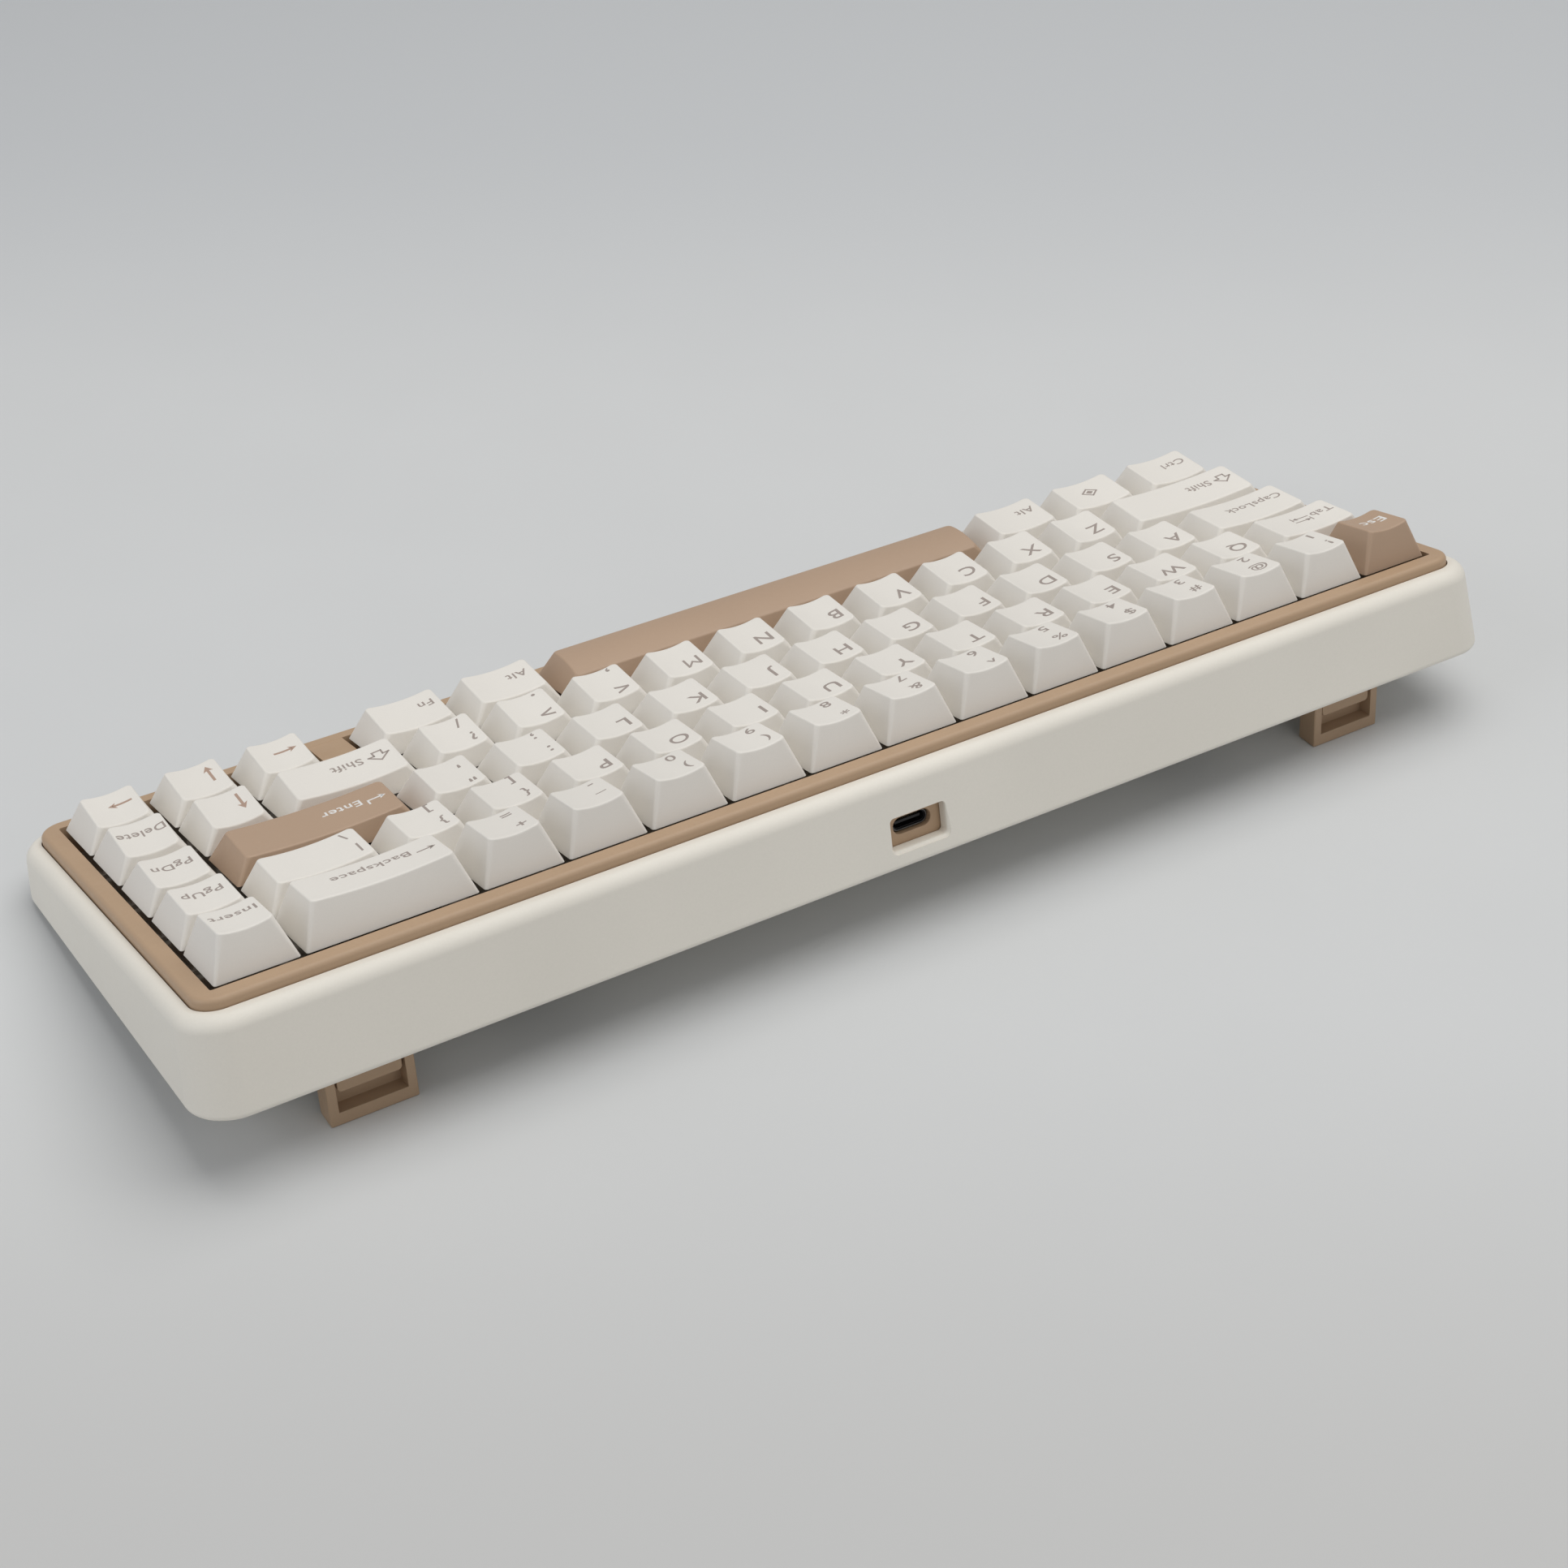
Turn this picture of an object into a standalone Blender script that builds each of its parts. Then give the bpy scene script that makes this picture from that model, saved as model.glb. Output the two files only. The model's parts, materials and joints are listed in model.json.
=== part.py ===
"""Compact 65 % mechanical keyboard with 67 keys, two-stage tilt feet and a USB-C inlet.

The keyboard is drawn in its deck frame: X to the right, Y from the space bar to the number row,
Z square to the key plane, with z = 0 at the lower edge of the keycaps and the first key's cell
starting at x = 0, y = 0.  The deck empty then tilts everything to the typing angle and stands it
on z = 0.  Lengths below are in millimetres and MM turns them into metres.
"""

import math

import bmesh
import bpy
from mathutils import Matrix, Vector

MM = 0.001

# ---- driving dimensions ----------------------------------------------------------------------
PITCH = 19.05                   # one key unit
COLUMNS = 16                    # units along X
ROWS = 5
DECK_WIDTH = COLUMNS * PITCH
DECK_DEPTH = ROWS * PITCH
TYPING_ANGLE = math.radians(12.8)   # key plane to desk, large feet folded out
DESK_OFFSET = -16.2             # desk height measured square to the desk, through the deck origin
FIT = 0.3                       # gap between pieces that touch

# outer case
CASE_X = (-8.5, DECK_WIDTH + 8.5)
CASE_Y = (-8.7, DECK_DEPTH + 8.75)
CASE_TOP = -2.0
CASE_CORNER = 10.0              # corner radius seen from above
CASE_TOP_ROUND = 3.0
CASE_BOTTOM_ROUND = 2.8
CASE_FLARE = 0.09               # how far the walls lean out for each millimetre down
BOTTOM_AT_ORIGIN = -14.9        # height of the bottom plane at y = 0
BOTTOM_SLOPE = 0.078            # drop of the bottom plane for each millimetre to the rear
FLOOR = 1.6                     # thickness of the case floor
CAVITY_X = (-2.5, DECK_WIDTH + 2.5)     # the hollow under the board
CAVITY_Y = (-2.1, 97.0)

# inner frame
OPENING_X = (-0.6, DECK_WIDTH + 0.6)
OPENING_Y = (-0.4, DECK_DEPTH + 0.45)
RIM = 4.2                       # width of the rim round the opening
RIM_TOP = 0.3
RIM_BOTTOM = -10.8
RIM_CORNER = 5.5
RIM_TOP_ROUND = 1.2
LEDGE = 1.5                     # ledge under the switch plate
LEDGE_TOP = -8.4

# plate, board and switches
PLATE_TOP = -6.6
PLATE_THICKNESS = 1.5
BOARD_TOP = PLATE_TOP - 5.0
BOARD_THICKNESS = 1.2
HOUSING_TOP = -0.9
HOUSING_BOTTOM = BOARD_TOP + FIT
HOUSING_WIDTH = 14.0
HOUSING_SHOULDER = 13.6         # width where the upper body leaves the flange
HOUSING_CROWN = (9.4, 8.4)      # x and y size of the upper body's top
FLANGE_WIDTH = 15.2
FLANGE_THICKNESS = 1.0
KEY_TRAVEL = 4.0
STEM_WIDTH = 5.6
STEM_BOTTOM = -4.0
WELL_WIDTH = STEM_WIDTH + 1.0   # shaft in the housing that the stem runs in
WELL_BOTTOM = STEM_BOTTOM - KEY_TRAVEL - 1.2

# keycaps
CAP_GAP = 1.15                  # between neighbouring caps at the skirt
CAP_TOP_INSET = 3.85            # from the cell's side to the top's side edge
CAP_WALL = 1.2
CAP_ROOF = 1.1
OUTER_POST = (4.0, 3.4)         # x and y size of the posts that a stabiliser holds
OUTER_POST_BOTTOM = -2.2
WEB_Y = (8.0, 11.0)             # web that joins neighbouring caps, from the front of the cell
WEB_Z = (0.3, 1.5)
DISH_DEPTH = 0.8
DISH_STRIPS = 4
SPACE_CROWN = 0.9
# top edge of each row: (front y in the cell, front height, rear y in the cell, rear height)
PROFILES = {
    "number": (4.9, 9.5, 17.0, 9.8),
    "upper": (4.8, 7.5, 17.3, 6.7),
    "home": (5.2, 7.0, 17.9, 5.6),
    "lower": (5.6, 8.0, 17.8, 5.5),
}

# stabiliser wires
WIRE_RADIUS = 0.7
WIRE_ARM = 9.0
WIRE_LIFT = 2.0                 # the arm's end stands this far above its axis at rest
WIRE_Y = 0.85                   # axis, from the front of the cell
WIRE_Z = -5.6
# half the distance between a stabilised key's outer posts
STABILISED = {"key_space": 50.0, "key_backspace": 11.94, "key_enter": 11.94,
              "key_left_shift": 11.94}

# connector and its surround
PORT_X = DECK_WIDTH / 2
PORT_Z = -14.75
PORT_SIZE = (8.94, 3.26)
PORT_Y = (94.6, 101.2)
PORT_SHELL = 0.3                # thickness of the connector's shell
PORT_TONGUE = (6.6, 0.8)
POCKET_SIZE = (13.8, 7.6)
POCKET_Z = -15.0
POCKET_Y = (101.0, 108.0)       # runs through the rear wall
SURROUND_HALF = 15.4
SURROUND_Y = (100.3, 102.3)
SURROUND_Z = (-19.2, -9.5)
BOARD_Y = (0.3, 95.0)
TONGUE_HALF = 9.4               # the board's tongue under the connector
TONGUE_REAR = 99.9
CHIP_X = (PORT_X + 28.0, PORT_X + 38.0)
CHIP_Y = (80.0, 90.0)
CHIP_HEIGHT = 1.0
SOUND_PAD_X = (42.0, DECK_WIDTH - 42.0)
SOUND_PAD_Y = (20.0, 92.0)
SOUND_PAD_THICKNESS = 1.2

# rubber pads
PAD_HALF = 9.0
FRONT_PADS = (122.0, (2.0, 9.0))    # distance from the middle, y span
REAR_PADS = (84.0, (87.0, 95.0))
REAR_PAD_HEIGHT = 1.6
PAD_RECESS = 0.5
PAD_SINK = 0.2                  # how far a pad reaches into its recess

# tilt feet
FOOT_FROM_MIDDLE = 125.8
FOOT_WIDTH = 19.2
FOOT_FRONT = 91.5
FOOT_REAR = 97.0
FOOT_AXIS = (95.0, -20.3)       # y, z of the large foot's pin
FOOT_LEAN = math.radians(6.5)   # the unfolded feet lean forward from square to the deck
FOOT_POST = 2.1
FOOT_RAIL = 3.0
SMALL_FOOT_AXIS = (95.3, -23.3)
SMALL_FOOT_HALF = 1.3
SMALL_FOOT_END = -30.7
SMALL_FOOT_WIDTH = 14.0
BAY_FRONT = 75.9                # the bay in the case that a folded foot lies in
BAY_REAR = 99.5
BAY_DEPTH = 5.9
BAY_WALL = 2.0
BAY_ROOF = 1.4
BAY_FIT = 0.4
PIN_RADIUS = 1.1
PIN_HOLE_RADIUS = 1.5
PIN_REACH = 1.5                 # how far the pin stands out of the foot on each side
RECESS_FRONT = 93.3             # the recess in the large foot, open to the rear
RECESS_TOP = -21.6
SMALL_PIN_RADIUS = 0.8
SMALL_PIN_REACH = 1.4

COLOURS = {
    "white_plastic": ((0.79, 0.76, 0.69), 0.45, 0.0),
    "ivory_caps": ((0.80, 0.77, 0.71), 0.5, 0.0),
    "tan_plastic": ((0.44, 0.31, 0.20), 0.5, 0.0),
    "dark_plate": ((0.03, 0.03, 0.032), 0.5, 0.3),
    "board_green": ((0.02, 0.07, 0.04), 0.4, 0.0),
    "silicone": ((0.35, 0.36, 0.36), 0.8, 0.0),
    "steel": ((0.55, 0.56, 0.58), 0.3, 1.0),
    "rubber": ((0.04, 0.04, 0.04), 0.9, 0.0),
}

# rows from the front: profile, then (name, widths of its caps in units); None is an empty stretch
LAYOUT = [
    ("lower", [("key_left_ctrl", [1.25]), ("key_super", [1.25]), ("key_left_alt", [1.25]),
               ("key_space", [6.25]), ("key_right_alt", [1.25]), ("key_fn", [1.25]),
               (None, [0.5]), ("key_left", [1]), ("key_down", [1]), ("key_right", [1])]),
    ("lower", [("key_left_shift", [2.25]), ("keys_z_x", [1, 1]), ("keys_c_v", [1, 1]),
               ("keys_b_n", [1, 1]), ("keys_m_comma", [1, 1]), ("keys_period_slash", [1, 1]),
               ("key_right_shift", [1.75]), ("key_up", [1]), ("key_delete", [1])]),
    ("home", [("key_caps_lock", [1.75]), ("keys_a_s_d", [1, 1, 1]), ("keys_f_g", [1, 1]),
              ("keys_h_j", [1, 1]), ("keys_k_l", [1, 1]), ("keys_semicolon_quote", [1, 1]),
              ("key_enter", [2.25]), ("key_page_down", [1])]),
    ("upper", [("key_tab", [1.5]), ("keys_q_w_e", [1, 1, 1]), ("keys_r_t_y", [1, 1, 1]),
               ("keys_u_i", [1, 1]), ("keys_o_p", [1, 1]), ("keys_brackets", [1, 1]),
               ("key_backslash", [1.5]), ("key_page_up", [1])]),
    ("number", [("key_esc", [1]), ("keys_1_2_3", [1, 1, 1]), ("keys_4_5_6", [1, 1, 1]),
                ("keys_7_8_9", [1, 1, 1]), ("keys_0_minus_equals", [1, 1, 1]),
                ("key_backspace", [2]), ("key_insert", [1])]),
]
TAN_KEYS = {"key_esc", "key_enter", "key_space"}


# ---- scene helpers -----------------------------------------------------------------------------
def clear_scene():
    for obj in list(bpy.data.objects):
        bpy.data.objects.remove(obj, do_unlink=True)
    for collection in list(bpy.data.collections):
        bpy.data.collections.remove(collection)


def new_collection(name):
    collection = bpy.data.collections.new(name)
    bpy.context.scene.collection.children.link(collection)
    return collection


def make_material(name):
    colour, roughness, metallic = COLOURS[name]
    material = bpy.data.materials.new(name)
    material.use_nodes = True
    shader = material.node_tree.nodes["Principled BSDF"]
    shader.inputs["Base Color"].default_value = (*colour, 1.0)
    shader.inputs["Roughness"].default_value = roughness
    shader.inputs["Metallic"].default_value = metallic
    material.diffuse_color = (*colour, 1.0)
    return material


def bottom_plane(y):
    """Height of the case's underside at y."""
    return BOTTOM_AT_ORIGIN - BOTTOM_SLOPE * y


def desk_plane(y):
    """Height of the desk at y, with the large feet folded out."""
    return (DESK_OFFSET - y * math.sin(TYPING_ANGLE)) / math.cos(TYPING_ANGLE)


def mesh_object(name, bm, material=None, origin=(0.0, 0.0, 0.0), tool=False):
    """Turn a bmesh in deck millimetres into an object whose origin is the given deck point."""
    bmesh.ops.translate(bm, verts=bm.verts, vec=-Vector(origin))
    bmesh.ops.scale(bm, verts=bm.verts, vec=(MM, MM, MM))
    bmesh.ops.recalc_face_normals(bm, faces=bm.faces)
    mesh = bpy.data.meshes.new(name)
    bm.to_mesh(mesh)
    bm.free()
    obj = bpy.data.objects.new(name, mesh)
    obj.location = Vector(origin) * MM
    obj.parent = deck
    if tool:
        tools.objects.link(obj)
        obj.hide_render = True
        obj.display_type = "WIRE"
    else:
        keyboard.objects.link(obj)
        mesh.materials.append(materials[material])
    return obj


def boolean(obj, tool, operation):
    modifier = obj.modifiers.new(operation.title() + " " + tool.name, "BOOLEAN")
    modifier.operation = operation
    modifier.object = tool
    modifier.solver = "EXACT"


def cut(obj, name, bm):
    boolean(obj, mesh_object(name, bm, tool=True), "DIFFERENCE")


def join(obj, name, bm):
    boolean(obj, mesh_object(name, bm, tool=True), "UNION")


# ---- solid builders, all in deck millimetres -----------------------------------------------------
def hexahedron(bm, low, high):
    """Six-sided block from two levels, each (x0, x1, y0, y1, z at y0, z at y1)."""
    for vert in bmesh.ops.create_cube(bm, size=2)["verts"]:
        x0, x1, y0, y1, z0, z1 = high if vert.co.z > 0 else low
        front = vert.co.y < 0
        vert.co = Vector((x0 if vert.co.x < 0 else x1, y0 if front else y1, z0 if front else z1))


def box(bm, x, y, z):
    hexahedron(bm, (*x, *y, z[0], z[0]), (*x, *y, z[1], z[1]))


def sloped_box(bm, x, y, above_bottom):
    """Block whose lower and upper faces follow the case's underside."""
    low, high = above_bottom
    hexahedron(bm, (*x, *y, bottom_plane(y[0]) + low, bottom_plane(y[1]) + low),
               (*x, *y, bottom_plane(y[0]) + high, bottom_plane(y[1]) + high))


def rounded_box(x, y, z, corner, corner_segments=5, top=0.0, bottom=0.0):
    """Block with rounded upright corners and, on request, rounded top and bottom edges."""
    bm = bmesh.new()
    box(bm, x, y, z)
    upright = [e for e in bm.edges if abs(e.verts[0].co.z - e.verts[1].co.z) > 1e-6]
    bmesh.ops.bevel(bm, geom=upright, offset=corner, segments=corner_segments, profile=0.5,
                    affect="EDGES")
    for level, radius in ((z[1], top), (z[0], bottom)):
        if radius:
            loop = [e for e in bm.edges if all(abs(v.co.z - level) < 1e-6 for v in e.verts)]
            bmesh.ops.bevel(bm, geom=loop, offset=radius, segments=3, profile=0.5,
                            affect="EDGES")
    return bm


def cylinder_x(bm, centre_x, y, z, radius, length, sides=12):
    place = Matrix.Translation((centre_x, y, z)) @ Matrix.Rotation(math.pi / 2, 4, "Y")
    bmesh.ops.create_cone(bm, cap_ends=True, segments=sides, radius1=radius, radius2=radius,
                          depth=length, matrix=place)


def profile_along_x(points, x):
    """Solid with the (y, z) outline given, between two x positions."""
    bm = bmesh.new()
    face = bm.faces.new([bm.verts.new((x[0], py, pz)) for py, pz in points])
    grown = bmesh.ops.extrude_face_region(bm, geom=[face])["geom"]
    moved = [g for g in grown if isinstance(g, bmesh.types.BMVert)]
    bmesh.ops.translate(bm, verts=moved, vec=(x[1] - x[0], 0, 0))
    return bm


def arc(centre, radius, start, end, steps):
    """Points on a circle in the (y, z) plane, angles in degrees from +Y."""
    angles = [math.radians(start + (end - start) * i / steps) for i in range(steps + 1)]
    return [(centre[0] + radius * math.cos(a), centre[1] + radius * math.sin(a)) for a in angles]


def stadium_along_y(bm, size, y):
    """Flat-oval prism with the connector's outline."""
    half, radius = (size[0] - size[1]) / 2, size[1] / 2
    outline = []
    for side in (1, -1):
        for i in range(7):
            a = math.radians(-90 + 30 * i) if side > 0 else math.radians(90 + 30 * i)
            outline.append((PORT_X + side * half + radius * math.cos(a),
                            PORT_Z + radius * math.sin(a)))
    face = bm.faces.new([bm.verts.new((px, y[0], pz)) for px, pz in outline])
    grown = bmesh.ops.extrude_face_region(bm, geom=[face])["geom"]
    moved = [g for g in grown if isinstance(g, bmesh.types.BMVert)]
    bmesh.ops.translate(bm, verts=moved, vec=(0, y[1] - y[0], 0))


# ---- keys ----------------------------------------------------------------------------------------
class Cap:
    """Place and top slope of one keycap."""

    def __init__(self, left, right, front, profile):
        self.left = left
        self.right = right
        self.middle = (left + right) / 2
        self.front = front
        self.y0, self.z0, self.y1, self.z1 = PROFILES[profile]
        self.y0 += front
        self.y1 += front

    def top(self, y):
        return self.z0 + (self.z1 - self.z0) * (y - self.y0) / (self.y1 - self.y0)

    def base(self, inset=0.0):
        edge = CAP_GAP / 2 + inset
        return (self.left + edge, self.right - edge, self.front + edge, self.front + PITCH - edge)

    def crest(self, inset=0.0):
        side = CAP_TOP_INSET + inset
        return (self.left + side, self.right - side, self.y0 + inset, self.y1 - inset)


def cap_outside(cap, crowned):
    """Tapered block with a dished top, or a crowned one for the space bar."""
    bm = bmesh.new()
    bmesh.ops.create_cube(bm, size=2)
    along = 1 if crowned else 0
    split = [e for e in bm.edges if abs(e.verts[0].co[along] - e.verts[1].co[along]) > 1]
    bmesh.ops.subdivide_edges(bm, edges=split, cuts=DISH_STRIPS - 1, use_grid_fill=True)
    for vert in bm.verts:
        across = vert.co[along]
        u, v = (vert.co.x + 1) / 2, (vert.co.y + 1) / 2
        x0, x1, y0, y1 = cap.crest() if vert.co.z > 0 else cap.base()
        x, y = x0 + (x1 - x0) * u, y0 + (y1 - y0) * v
        z = 0.0
        if vert.co.z > 0:
            hollow = DISH_DEPTH * (1 - across ** 2)
            crown = SPACE_CROWN * across ** 2
            z = cap.top(y) - (crown if crowned else hollow)
        vert.co = Vector((x, y, z))
    return bm


def cap_hollow(bm, cap):
    x0, x1, y0, y1 = cap.crest(inset=CAP_WALL)
    roof = DISH_DEPTH + CAP_ROOF
    hexahedron(bm, (*cap.base(inset=CAP_WALL), -1.0, -1.0),
               (x0, x1, y0, y1, cap.top(y0) - roof, cap.top(y1) - roof))


def post(bm, cap, x, width, depth, bottom):
    """Upright post that ends inside the cap's roof."""
    y0, y1 = cap.front + PITCH / 2 - depth / 2, cap.front + PITCH / 2 + depth / 2
    sink = DISH_DEPTH + CAP_ROOF / 2
    span = (x - width / 2, x + width / 2, y0, y1)
    hexahedron(bm, (*span, bottom, bottom), (*span, cap.top(y0) - sink, cap.top(y1) - sink))


def append(bm, part):
    mesh = bpy.data.meshes.new("part")
    part.to_mesh(mesh)
    part.free()
    bm.from_mesh(mesh)
    bpy.data.meshes.remove(mesh)


def make_key(name, caps):
    """One moving key, or a few neighbouring ones joined by a thin web under their skirts."""
    outside, hollow, inner = bmesh.new(), bmesh.new(), bmesh.new()
    for cap in caps:
        append(outside, cap_outside(cap, crowned=name == "key_space"))
        cap_hollow(hollow, cap)
        post(inner, cap, cap.middle, STEM_WIDTH, STEM_WIDTH, STEM_BOTTOM)
        if name in STABILISED:
            for side in (-1, 1):
                post(inner, cap, cap.middle + side * STABILISED[name], *OUTER_POST,
                     OUTER_POST_BOTTOM)
    for first in caps[:-1]:
        reach = CAP_GAP / 2 + CAP_WALL - 0.2
        box(inner, (first.right - reach, first.right + reach),
            (first.front + WEB_Y[0], first.front + WEB_Y[1]), WEB_Z)
    centre = ((caps[0].left + caps[-1].right) / 2, caps[0].front + PITCH / 2, 0.0)
    material = "tan_plastic" if name in TAN_KEYS else "ivory_caps"
    key = mesh_object(name, outside, material, origin=centre)
    cut(key, name + "_hollow", hollow)
    join(key, name + "_stems", inner)
    return key


def key_table():
    """Every key group as (name, its caps), and every switch position."""
    groups, switches = [], []
    for row, (profile, entries) in enumerate(LAYOUT):
        x = 0.0
        for name, widths in entries:
            caps = []
            for width in widths:
                caps.append(Cap(x, x + width * PITCH, row * PITCH, profile))
                x += width * PITCH
            if name:
                groups.append((name, caps))
                switches.extend((cap.middle, cap.front + PITCH / 2) for cap in caps)
    return groups, switches


# ---- structure -----------------------------------------------------------------------------------
def make_outer_case():
    bm = rounded_box(CASE_X, CASE_Y, (BOTTOM_AT_ORIGIN, CASE_TOP), CASE_CORNER,
                     top=CASE_TOP_ROUND, bottom=CASE_BOTTOM_ROUND)
    halfway = (BOTTOM_AT_ORIGIN + CASE_TOP) / 2
    middle_y = (CASE_Y[0] + CASE_Y[1]) / 2
    for vert in bm.verts:
        if vert.co.z < halfway:
            vert.co.z -= BOTTOM_SLOPE * vert.co.y
        lean = -CASE_FLARE * vert.co.z
        vert.co.x += math.copysign(lean, vert.co.x - DECK_WIDTH / 2)
        vert.co.y += math.copysign(lean, vert.co.y - middle_y)
    case = mesh_object("outer_case", bm, "white_plastic")

    wide = rounded_box((OPENING_X[0] - RIM - FIT, OPENING_X[1] + RIM + FIT),
                       (OPENING_Y[0] - RIM - FIT, OPENING_Y[1] + RIM + FIT),
                       (RIM_BOTTOM - FIT, 5.0), RIM_CORNER + FIT)
    cut(case, "case_upper_cavity", wide)
    deep = bmesh.new()
    hexahedron(deep, (*CAVITY_X, *CAVITY_Y, bottom_plane(CAVITY_Y[0]) + FLOOR,
                      bottom_plane(CAVITY_Y[1]) + FLOOR), (*CAVITY_X, *CAVITY_Y, 0.0, 0.0))
    cut(case, "case_lower_cavity", deep)
    notch = bmesh.new()
    box(notch, (PORT_X - SURROUND_HALF - FIT, PORT_X + SURROUND_HALF + FIT),
        (CAVITY_Y[1] - 1.0, SURROUND_Y[1] + FIT), (SURROUND_Z[0] - 0.4, SURROUND_Z[1] + FIT))
    cut(case, "port_notch", notch)

    blocks, bays, pins = bmesh.new(), bmesh.new(), bmesh.new()
    for middle in foot_middles():
        half = FOOT_WIDTH / 2 + BAY_FIT
        sloped_box(blocks, (middle - half - BAY_WALL, middle + half + BAY_WALL),
                   (BAY_FRONT - BAY_WALL, CAVITY_Y[1] + 1.0), (0.5, BAY_DEPTH + BAY_ROOF))
        sloped_box(bays, (middle - half, middle + half), (BAY_FRONT, BAY_REAR), (-1.0, BAY_DEPTH))
        cylinder_x(pins, middle, *FOOT_AXIS, PIN_HOLE_RADIUS, 2 * (half + 1.7))
    join(case, "foot_bay_walls", blocks)
    cut(case, "foot_bays", bays)
    cut(case, "foot_pin_holes", pins)

    pocket = bmesh.new()
    w, h = POCKET_SIZE[0] / 2, POCKET_SIZE[1] / 2
    box(pocket, (PORT_X - w, PORT_X + w), POCKET_Y, (POCKET_Z - h, POCKET_Z + h))
    cut(case, "port_pocket", pocket)
    recesses = bmesh.new()
    for x, y in pad_places().values():
        sloped_box(recesses, (x[0] - FIT, x[1] + FIT), (y[0] - FIT, y[1] + FIT),
                   (-1.0, PAD_RECESS))
    cut(case, "pad_recesses", recesses)


def make_inner_frame():
    bm = rounded_box((OPENING_X[0] - RIM, OPENING_X[1] + RIM),
                     (OPENING_Y[0] - RIM, OPENING_Y[1] + RIM),
                     (RIM_BOTTOM, RIM_TOP), RIM_CORNER, top=RIM_TOP_ROUND)
    frame = mesh_object("inner_frame", bm, "tan_plastic")
    opening = bmesh.new()
    box(opening, OPENING_X, OPENING_Y, (LEDGE_TOP, 2.0))
    cut(frame, "frame_opening", opening)
    below = bmesh.new()
    box(below, (OPENING_X[0] + LEDGE, OPENING_X[1] - LEDGE),
        (OPENING_Y[0] + LEDGE, OPENING_Y[1] - LEDGE), (RIM_BOTTOM - 1.0, LEDGE_TOP + 0.5))
    cut(frame, "frame_ledge_opening", below)
    filler = bmesh.new()
    gap = (12.5 * PITCH, 13 * PITCH)
    box(filler, (gap[0] + CAP_GAP / 2, gap[1] - CAP_GAP / 2), (OPENING_Y[0] - 1.0, PITCH - 0.35),
        (PLATE_TOP + 0.4, RIM_TOP - 0.02))
    join(frame, "filler_block", filler)


def make_switch_plate(switches):
    bm = bmesh.new()
    box(bm, (OPENING_X[0] + FIT, OPENING_X[1] - FIT), (OPENING_Y[0] + FIT, OPENING_Y[1] - FIT),
        (PLATE_TOP - PLATE_THICKNESS, PLATE_TOP))
    plate = mesh_object("switch_plate", bm, "dark_plate")
    slots = bmesh.new()
    for x, y, reach in stabiliser_places().values():
        for side in (-1, 1):
            box(slots, (x + side * reach - 2.5, x + side * reach + 2.5), (y + 1.2, y + 12.0),
                (PLATE_TOP - 3.0, PLATE_TOP + 1.0))
    cut(plate, "stabiliser_slots", slots)
    housings, wells = bmesh.new(), bmesh.new()
    for x, y in switches:
        append(housings, switch_housing(x, y))
        half = WELL_WIDTH / 2
        box(wells, (x - half, x + half), (y - half, y + half), (WELL_BOTTOM, HOUSING_TOP + 1.0))
    join(plate, "switch_housings", housings)
    cut(plate, "stem_wells", wells)


def switch_housing(x, y):
    """Lower body, flange on the plate and tapered upper body, as one stepped block."""
    bm = bmesh.new()
    bmesh.ops.create_cube(bm, size=2)
    bottom = [f for f in bm.faces if f.normal.z < -0.5][0]
    bmesh.ops.delete(bm, geom=[bottom], context="FACES_ONLY")
    body, flange, shoulder = HOUSING_WIDTH / 2, FLANGE_WIDTH / 2, HOUSING_SHOULDER / 2
    flange_top, flange_bottom = PLATE_TOP + FLANGE_THICKNESS, PLATE_TOP - 0.1
    # (half width x, half width y, height) from the top down
    levels = [(HOUSING_CROWN[0] / 2, HOUSING_CROWN[1] / 2, HOUSING_TOP),
              (shoulder, shoulder, flange_top), (flange, flange, flange_top),
              (flange, flange, flange_bottom), (body, body, flange_bottom),
              (body, body, HOUSING_BOTTOM)]
    for vert in bm.verts:
        half_x, half_y, z = levels[0] if vert.co.z > 0 else levels[1]
        vert.co = Vector((math.copysign(half_x, vert.co.x), math.copysign(half_y, vert.co.y), z))
    rim = [e for e in bm.edges if e.is_boundary]
    for half_x, half_y, z in levels[2:]:
        grown = bmesh.ops.extrude_edge_only(bm, edges=rim)["geom"]
        for vert in (g for g in grown if isinstance(g, bmesh.types.BMVert)):
            vert.co = Vector((math.copysign(half_x, vert.co.x),
                              math.copysign(half_y, vert.co.y), z))
        rim = [g for g in grown if isinstance(g, bmesh.types.BMEdge) and g.is_boundary]
    bmesh.ops.contextual_create(bm, geom=rim)
    bmesh.ops.translate(bm, verts=bm.verts, vec=(x, y, 0))
    return bm


def make_circuit_board():
    bm = bmesh.new()
    level = (BOARD_TOP - BOARD_THICKNESS, BOARD_TOP)
    box(bm, (0.0, DECK_WIDTH), BOARD_Y, level)
    board = mesh_object("circuit_board", bm, "board_green")
    tongue = bmesh.new()
    box(tongue, (PORT_X - TONGUE_HALF, PORT_X + TONGUE_HALF), (BOARD_Y[1] - 1.0, TONGUE_REAR),
        level)
    join(board, "board_tongue", tongue)
    chip = bmesh.new()
    box(chip, CHIP_X, CHIP_Y, (level[0] - CHIP_HEIGHT, level[0] + 0.4))
    join(board, "controller_chip", chip)


def make_sound_pad():
    bm = bmesh.new()
    low = FLOOR + FIT
    sloped_box(bm, SOUND_PAD_X, SOUND_PAD_Y, (low, low + SOUND_PAD_THICKNESS))
    mesh_object("sound_pad", bm, "silicone")


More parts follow.
